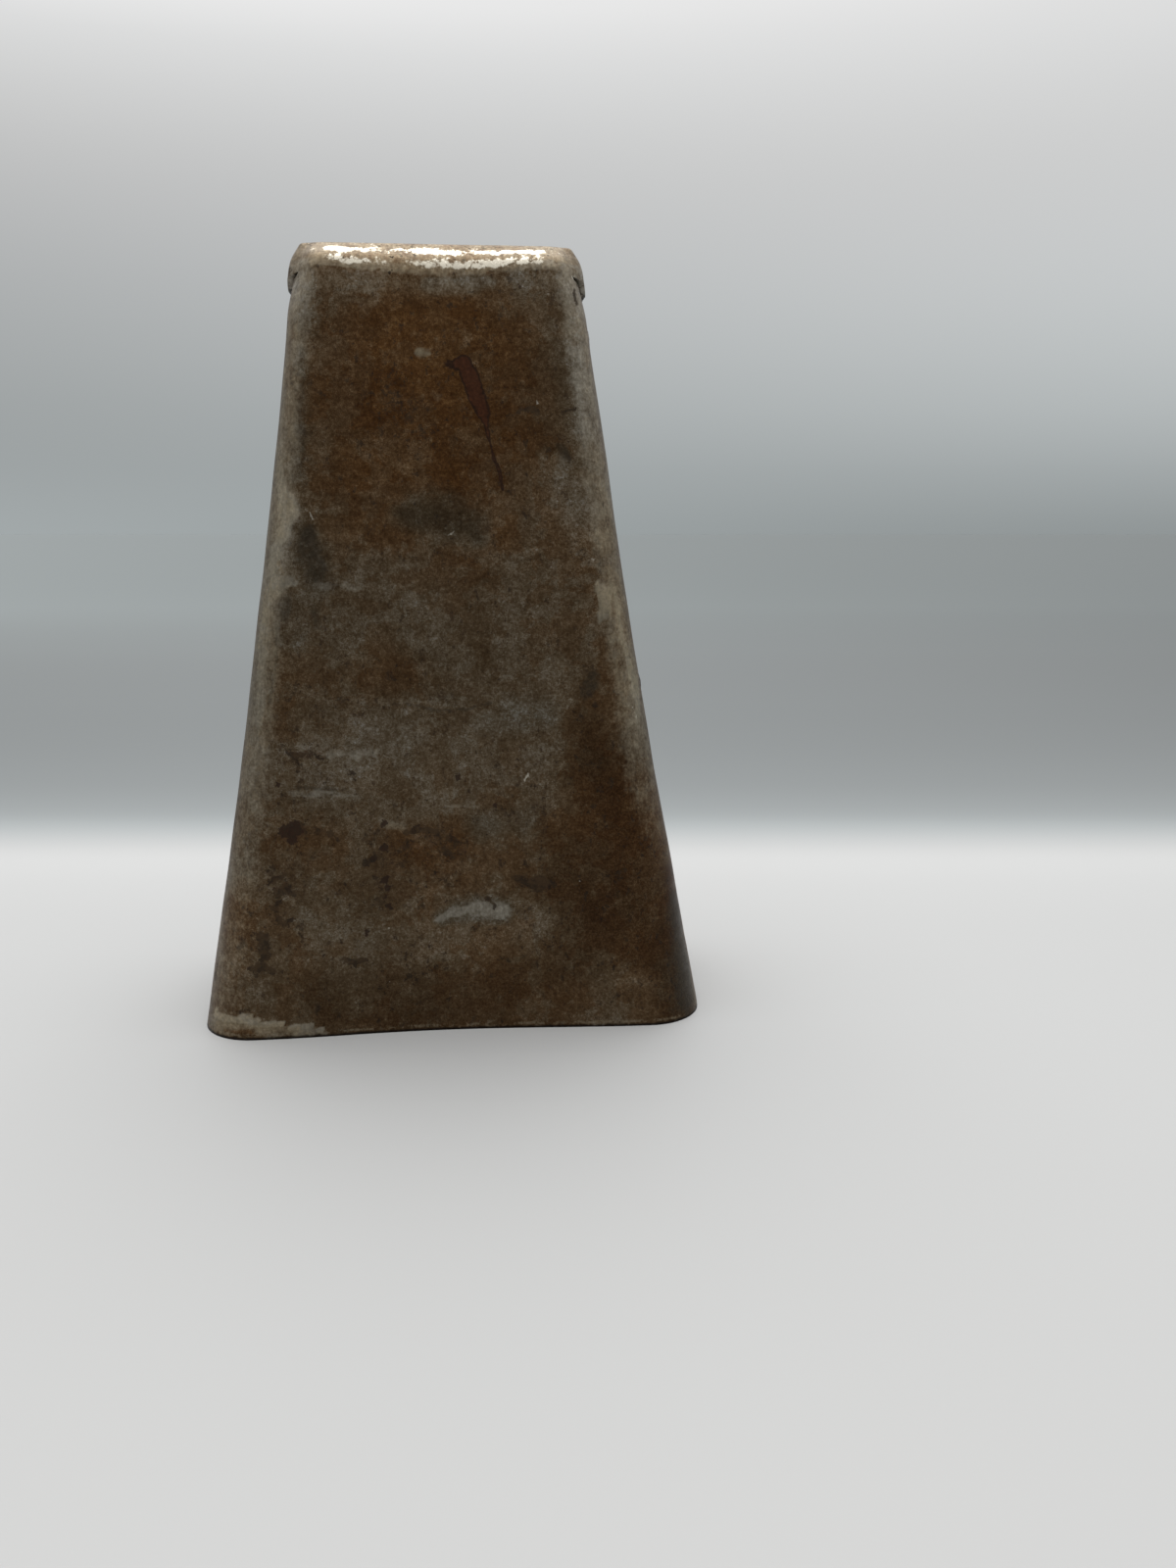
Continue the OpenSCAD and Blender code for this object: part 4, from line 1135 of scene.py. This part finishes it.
    # blackened stains
    dark = g.step(g.math('ADD', A["dark"], g.math('ADD', about(g, blotch2, 0.9), about(g, mott2, 0.9))), 0.24, 0.95)
    c = g.mixc(g.math('MULTIPLY', dark, 0.8), c, scaled(g, lin(PAL["dark"]), g.math('POWER', 2.0, g.math('ADD', about(g, fine, 2.6), about(g, mott2, 1.2)))))
    lines = None
    for ch in DARK_LINES:
        m = chain_mask(g, uw, ch, 0.25, g.math('ADD', about(g, mott2, 2.6), -0.05))
        lines = m if lines is None else g.math('MAXIMUM', lines, m)
    c = g.mixc(g.math('MULTIPLY', lines, 0.5), c, lin(PAL["dark"]))

    # worn places, where the sheet shows grey through the patina, and the painted sheen along the corner bends
    lt = g.math('ADD', A["light"], g.math('ADD', about(g, mott, 0.65), about(g, fine, 0.25)))
    lt = g.math('ADD', lt, g.math('ADD', about(g, brush, 0.22), about(g, blotch2, 0.5)))
    light = g.step(lt, 0.24, 0.90)
    light = g.math('MULTIPLY', light, g.rng(dark, 0.0, 1.0, 1.0, 0.25))
    c = g.mixc(g.math('MULTIPLY', light, 0.9), c, scaled(g, g.mixc(g.step(w, 0.1, 0.8), lin(PAL["wear_and_sheen_cool"]), lin(PAL["wear_and_sheen"])), g.math('POWER', 2.0, g.math('ADD', g.math('MULTIPLY', A["tone"], 0.35), g.math('ADD', about(g, fine, 1.6), g.math('ADD', about(g, mott2, 1.1), about(g, brush, 0.9)))))))

    # the red-brown streak, an old run of lacquer, with a darker outline
    st = g.math('MAXIMUM', chain_mask(g, un, STREAK, 0.16, about(g, mott2, 1.5)), chain_mask(g, uw, STREAK_ARM, 0.3, about(g, mott2, 1.6)))
    core = chain_mask(g, un, [(a, b, w - 0.55) for a, b, w in STREAK], 0.25, about(g, mott2, 1.5))
    c = g.mixc(g.math('MULTIPLY', st, 0.92), c, scaled(g, g.mixc(core, lin(PAL["pit"]), lin(PAL["streak"])), g.math('POWER', 2.0, g.math('ADD', about(g, mott2, 1.8), about(g, fine, 1.8)))))

    # rust: fields, spots and freckles
    rs = g.math('ADD', A["rust"], g.math('ADD', about(g, mott, 1.5), about(g, fine, 0.9)))
    rust = g.step(rs, 0.62, 0.80)
    spots = spot_mask(g, uw, SPOTS, g.math('ADD', about(g, mott2, 3.0), about(g, fine, 1.4)), 0.10)
    marks = None
    for ch in MARKS:
        m = chain_mask(g, uw, ch, 0.12, g.math('ADD', about(g, mott2, 2.6), about(g, fine, 1.4)))
        marks = m if marks is None else g.math('MAXIMUM', marks, m)
    fr = g.math('ADD', g.noise(g.mapping(mm, loc=(3, 3, 59)), 0.85, 3, 0.55), g.math('MULTIPLY', A["rust"], 0.10))
    freckle = g.math('MULTIPLY', g.step(fr, 0.67, 0.71), 0.5)
    rust = g.math('MAXIMUM', rust, freckle)
    rc = g.mixc(g.step(mott2, 0.35, 0.65), lin(PAL["rust_dark"]), lin(PAL["rust"]))
    c = g.mixc(g.math('MULTIPLY', rust, 0.55), c, scaled(g, rc, g.math('POWER', 2.0, g.math('ADD', about(g, fine, 2.2), about(g, mott2, 1.6)))))
    pit_col = scaled(g, g.mixc(g.step(fine, 0.40, 0.62), lin(PAL["pit"]), lin(PAL["flake_dark"])), g.math('POWER', 2.0, about(g, mott2, 1.6)))
    c = g.mixc(g.math('MULTIPLY', marks, 0.85), c, g.mixc(g.step(mott, 0.42, 0.58), lin(PAL["flake_dark"]), lin(PAL["flake"])))
    c = g.mixc(g.math('MULTIPLY', spots, 0.92), c, pit_col)
    rust = g.math('MAXIMUM', g.math('MAXIMUM', rust, g.math('MULTIPLY', marks, 0.7)), spots)

    # heat colours round the welds
    hz = g.math('ADD', A["heat"], about(g, blotch2, 0.25))
    c = g.mixc(g.math('MULTIPLY', g.step(hz, 0.12, 0.35), 0.45), c, lin(PAL["straw"]))
    c = g.mixc(g.math('MULTIPLY', g.step(hz, 0.38, 0.62), 0.6), c, lin(PAL["blued"]))

    # the rim: painted contact shadow, partly dirt, near black on the rounded foot, with a thin rubbed line above it
    # that is partly a painted glint on the arris
    us = g.n("ShaderNodeSeparateXYZ"); g.link(un, us.inputs[0])
    rim_z = g.math('ADD', us.outputs[1], about(g, mott, 0.9))
    rim_contact_shade_and_dirt = g.math('SUBTRACT', 1.0, g.step(rim_z, 0.45, 1.0))
    rim_glint_and_rub = g.math('MULTIPLY', g.step(rim_z, 0.9, 1.3), g.math('SUBTRACT', 1.0, g.step(rim_z, 1.5, 2.1)))
    rim_glint_and_rub = g.math('MULTIPLY', rim_glint_and_rub, g.step(g.math('ADD', blotch, about(g, fine, 0.6)), 0.42, 0.62))
    c = g.mixc(g.math('MULTIPLY', rim_glint_and_rub, 0.55), c, lin(PAL["wear_and_sheen"]))
    c = g.mixc(g.math('MULTIPLY', rim_contact_shade_and_dirt, 0.9), c, lin((16, 12, 9)))

    # bare, burnished metal
    bs = g.math('ADD', A["bare"], g.math('ADD', about(g, mott, 1.5), about(g, fine, 1.0)))
    bs = g.math('ADD', bs, about(g, blotch2, 0.9))
    bare = g.math('MULTIPLY', g.step(bs, 0.46, 0.74), g.step(A["bare"], 0.02, 0.12))
    ed = g.math('ADD', A["arris"], g.math('ADD', about(g, mott, 1.6), about(g, blotch, 0.8)))
    edge = g.math('MULTIPLY', g.step(ed, 0.5, 0.95), 0.75)
    edge = g.math('MULTIPLY', edge, g.rng(A["inside"], 0.0, 1.0, 1.0, 0.6))
    edge = g.math('MULTIPLY', edge, g.math('SUBTRACT', 1.0, rim_contact_shade_and_dirt))
    nick = None
    for ch in NICKS:
        m = chain_mask(g, un, ch, 0.16, about(g, fine, 1.1))
        nick = m if nick is None else g.math('MAXIMUM', nick, m)
    nick = g.math('MULTIPLY', nick, 0.75)
    speck = g.math('MULTIPLY', g.step(g.noise(g.mapping(mm, loc=(93, 31, 5)), 0.8, 1, 0.4), 0.83, 0.86), 0.35)
    bare = g.math('MAXIMUM', g.math('MAXIMUM', bare, edge), g.math('MAXIMUM', nick, speck))
    c = g.mixc(bare, c, scaled(g, lin(PAL["bare"]), g.math('POWER', 2.0, g.math('ADD', about(g, mott2, 0.8), about(g, grain, 0.5)))))
    if weld:
        scale = g.step(g.math('ADD', blotch2, about(g, fine, 0.5)), 0.45, 0.62)
        c = g.mixc(scale, lin(PAL["weld"]), lin(PAL["weld_scale"]))
        c = g.mixc(g.math('MULTIPLY', rust, 0.6), c, rc)
        c = g.mixc(g.math('MULTIPLY', g.step(mott, 0.6, 0.7), 0.6), c, lin(PAL["bare"]))
    g.link(c, bsdf.inputs["Base Color"])

    met = g.mixf(flake, g.mixf(light, PAT_METAL, 0.85), 0.3)
    met = g.mixf(rust, met, 0.12)
    met = g.mixf(st, met, 0.45)
    met = g.mixf(bare, met, 1.0)
    g.put(bsdf.inputs["Metallic"], met)
    ro = g.math('ADD', PAT_ROUGH, g.math('ADD', about(g, mott, 0.30), about(g, smear, 0.28)))
    ro = g.mixf(light, ro, g.math('ADD', 0.40, about(g, brush, 0.3)))
    ro = g.mixf(flake, ro, 0.66)
    ro = g.mixf(rust, ro, 0.80)
    ro = g.mixf(st, ro, 0.42)
    ro = g.mixf(bare, ro, g.math('ADD', 0.25, about(g, fine, 0.2)))
    g.put(bsdf.inputs["Roughness"], ro)
    bsdf.inputs["Specular IOR Level"].default_value = 0.2

    hgt = g.math('ADD', g.math('MULTIPLY', fine, 0.35), g.math('MULTIPLY', mott, 0.65))
    hgt = g.math('ADD', hgt, g.math('MULTIPLY', grain, 0.16))
    hgt = g.math('SUBTRACT', hgt, g.math('MULTIPLY', spots, 0.8))
    hgt = g.math('SUBTRACT', hgt, g.math('MULTIPLY', nick, 0.8))
    hgt = g.math('SUBTRACT', hgt, g.math('MULTIPLY', freckle, 0.35))
    hgt = g.math('SUBTRACT', hgt, g.math('MULTIPLY', flake, 0.35))
    hgt = g.math('SUBTRACT', hgt, g.math('MULTIPLY', marks, 0.4))
    hgt = g.math('ADD', hgt, g.math('MULTIPLY', g.math('MULTIPLY', rust, grain), 0.35))
    bump = g.n("ShaderNodeBump")
    bump.inputs["Strength"].default_value = 0.55 if not weld else 0.8
    bump.inputs["Distance"].default_value = 0.00010
    g.link(hgt, bump.inputs["Height"])
    g.link(bump.outputs[0], bsdf.inputs["Normal"])
    return mat


PAL = {"cool": (86, 77, 63), "grey": (88, 74, 56), "brown": (91, 63, 34), "rich": (88, 51, 24),
       "flake": (60, 45, 28), "flake_dark": (39, 28, 17), "dark": (48, 42, 33), "wear_and_sheen": (138, 127, 106),
       "wear_and_sheen_cool": (132, 127, 116), "streak": (64, 35, 20), "rust_dark": (50, 33, 19), "rust": (76, 52, 31),
       "pit": (42, 25, 15), "straw": (86, 66, 38), "blued": (50, 50, 52), "bare": (194, 188, 174),
       "weld": (112, 104, 92), "weld_scale": (56, 50, 44)}
PAT_METAL, PAT_ROUGH = 0.7, 0.46

shell_mat = shell_material()
for ob in (front, back):
    ob.data.materials.clear(); ob.data.materials.append(shell_mat)
weld_mat = shell_material(True)
for ob in (left_seam, right_seam, left_ear, right_ear, lip):
    ob.data.materials.clear(); ob.data.materials.append(weld_mat)

# ------------------------------------------------------------------ floor, light and camera
def floor():
    bm = bmesh.new()
    n = 48
    xs = [-7.0, -3.0, -1.5, -0.8] + [-0.5 + i / n for i in range(n + 1)] + [0.8, 1.5, 3.0, 7.0]
    grid = [[bm.verts.new((x, y, 0.0)) for x in xs] for y in xs]
    for i in range(len(xs) - 1):
        for j in range(len(xs) - 1):
            bm.faces.new((grid[i][j], grid[i][j + 1], grid[i + 1][j + 1], grid[i + 1][j]))
    me = bpy.data.meshes.new("studio_floor")
    bm.to_mesh(me); bm.free()
    ob = bpy.data.objects.new("studio_floor", me)
    bpy.context.scene.collection.objects.link(ob)
    mat = bpy.data.materials.new("studio_floor_paper")
    mat.use_nodes = True
    g = Nodes(mat.node_tree)
    out = g.n("ShaderNodeOutputMaterial")
    bsdf = g.n("ShaderNodeBsdfPrincipled")
    g.link(bsdf.outputs[0], out.inputs[0])
    tc = g.n("ShaderNodeTexCoord").outputs["Object"]
    sep = g.n("ShaderNodeSeparateXYZ"); g.link(tc, sep.inputs[0])
    # painted light and shade: the floor's colour has a bright band just behind the bell, darkens farther back, and is
    # lighter on the left and darker on the right, standing in for how the studio light falls
    ramp = g.n("ShaderNodeValToRGB")
    ramp.color_ramp.interpolation = 'B_SPLINE'
    pos = g.rng(sep.outputs[1], -0.5, 1.5, 0.0, 1.0)
    g.link(pos, ramp.inputs[0])
    el = ramp.color_ramp.elements
    def stop(y, v, tint=(0.985, 1.0, 1.0)):
        e = el.new((y + 0.5) / 2.0)
        e.color = (v * tint[0], v * tint[1], v * tint[2], 1)
    el[0].position = 0.0; el[0].color = (0.50, 0.50, 0.497, 1)
    el[1].position = 1.0; el[1].color = (0.2755, 0.308, 0.3145, 1)
    for y, v in ((-0.1, 0.50), (0.05, 0.49), (0.105, 0.51), (0.135, 0.535), (0.155, 0.49), (0.185, 0.36), (0.215, 0.26), (0.277, 0.215), (0.39, 0.195), (0.55, 0.195), (0.9, 0.225)):
        stop(y, v, (0.99, 1.0, 1.0) if y < 0.16 else (0.945, 1.015, 1.035))
    # painted shade: farther back the floor is painted darker to the right and lighter to the left
    az = g.math('DIVIDE', sep.outputs[0], g.math('MAXIMUM', g.math('ADD', sep.outputs[1], 0.348), 0.3))
    side = g.math('MULTIPLY', az, g.rng(sep.outputs[1], 0.17, 1.3, 0.0, 0.42))
    shade = g.math('MAXIMUM', g.math('SUBTRACT', 1.0, side), 0.6)
    tinted = g.n("ShaderNodeVectorMath", operation='SCALE')
    g.link(ramp.outputs[0], tinted.inputs[0]); g.link(shade, tinted.inputs["Scale"])
    g.link(tinted.outputs[0], bsdf.inputs["Base Color"])
    bsdf.inputs["Roughness"].default_value = 0.6
    bsdf.inputs["Specular IOR Level"].default_value = 0.25
    me.materials.append(mat)
    ob.rotation_euler = (0, 0, -math.radians(5.08))
    return ob


floor()


FRONT_DIM = 0.35


def studio_light():
    world = bpy.data.worlds.new("studio")
    bpy.context.scene.world = world
    world.use_nodes = True
    g = Nodes(world.node_tree)
    out = g.n("ShaderNodeOutputWorld")
    bg = g.n("ShaderNodeBackground")
    g.link(bg.outputs[0], out.inputs[0])
    tc = g.n("ShaderNodeTexCoord").outputs["Generated"]
    nrm = g.n("ShaderNodeVectorMath", operation='NORMALIZE'); g.link(tc, nrm.inputs[0])
    sep = g.n("ShaderNodeSeparateXYZ"); g.link(nrm.outputs[0], sep.inputs[0])
    # elevation in degrees, and the sideways part of the direction, square to the backdrop
    elev = g.math('MULTIPLY', g.math('ARCSINE', sep.outputs[2]), 180 / math.pi)
    dot = g.n("ShaderNodeVectorMath", operation='DOT_PRODUCT')
    g.link(nrm.outputs[0], dot.inputs[0])
    dot.inputs[1].default_value = (math.cos(math.radians(5.08)), -math.sin(math.radians(5.08)), 0)
    sx = dot.outputs["Value"]
    def curve(x, lo, hi, stops, colour=True):
        r = g.n("ShaderNodeValToRGB")
        r.color_ramp.interpolation = 'B_SPLINE'
        g.link(g.rng(x, lo, hi, 0.0, 1.0), r.inputs[0])
        e = r.color_ramp.elements
        e[0].position = 0.0; e[1].position = 1.0
        for n, st in enumerate(stops):
            q = (st[0] - lo) / (hi - lo)
            c = (*st[1:], 1) if colour else (st[1], st[1], st[1], 1)
            if n == 0: e[0].color = c
            elif n == len(stops) - 1: e[1 if len(e) == 2 else len(e) - 1].color = c
            else:
                k = e.new(q); k.color = c
        return r.outputs[0]
    near = curve(elev, -10.0, 30.0, [(-10, .30, .325, .33), (-2, .305, .335, .34), (1.8, .352, .378, .383), (4.5, .405, .43, .434),
                 (7.1, .455, .476, .480), (9.6, .498, .514, .518), (12, .535, .545, .548), (14.3, .575, .58, .58), (16.5, .635, .64, .64),
                 (18.6, .71, .715, .715), (20.4, .80, .80, .80), (24, .88, .88, .88), (30, .95, .95, .95)])
    high_up = g.rng(elev, 30.0, 62.0, 0.0, 1.0)
    sky = g.mixc(high_up, near, (1.18, 1.17, 1.15, 1))
    lean = curve(elev, -10.0, 30.0, [(-10, .30), (-1, .32), (1.8, .56), (4.5, .66), (9.6, .68), (14.3, .58), (18.6, .50), (20.4, .42), (24, .5), (30, .5)], False)
    lean = g.math('MULTIPLY', g.math('SUBTRACT', lean, 0.5), 2.0)
    side = g.math('ADD', g.math('MULTIPLY', g.math('MULTIPLY', lean, sx), 1.0), 1.0)
    # the side behind the viewer is the dim room
    front_dim = g.rng(sep.outputs[1], -0.9, 0.1, FRONT_DIM, 1.0)
    high = g.step(sep.outputs[2], 0.35, 0.8)
    k = g.mixf(high, g.math('MULTIPLY', front_dim, side), 1.0)
    col = g.mixc(1.0, sky, k, 'MULTIPLY')
    g.link(col, bg.inputs[0])
    bg.inputs[1].default_value = 1.0

    def area(name, loc, aim, size, size_y, energy, color=(1, 1, 1)):
        li = bpy.data.lights.new(name, 'AREA')
        li.shape = 'RECTANGLE'; li.size = size; li.size_y = size_y
        li.energy = energy; li.color = color
        ob = bpy.data.objects.new(name, li)
        ob.location = loc
        ob.rotation_euler = (Vector(aim) - Vector(loc)).to_track_quat('-Z', 'Y').to_euler()
        bpy.context.scene.collection.objects.link(ob)
        return ob
    area("overhead_softbox", (0.0, 0.22, 0.95), (0, 0.05, 0.1), 0.9, 0.75, 6.0)


studio_light()


def camera():
    cam = bpy.data.cameras.new("camera")
    cam.sensor_width = 36.0
    cam.sensor_fit = 'AUTO'
    cam.lens = 36.0 * 1190.0 / 1600.0
    cam.clip_start = 0.01
    cam.clip_end = 50
    ob = bpy.data.objects.new("camera", cam)
    yaw, pitch = math.radians(5.08), math.radians(13.22)
    fwd = Vector((math.sin(yaw) * math.cos(pitch), math.cos(yaw) * math.cos(pitch), -math.sin(pitch)))
    right = Vector((math.cos(yaw), -math.sin(yaw), 0))
    upv = right.cross(fwd)
    m = Matrix((right, upv, -fwd)).transposed().to_4x4()
    m.translation = Vector((0.01051, -0.3505, 0.1469))
    ob.matrix_world = m
    bpy.context.scene.collection.objects.link(ob)
    bpy.context.scene.camera = ob


camera()
bpy.context.scene.view_settings.view_transform = 'Standard'
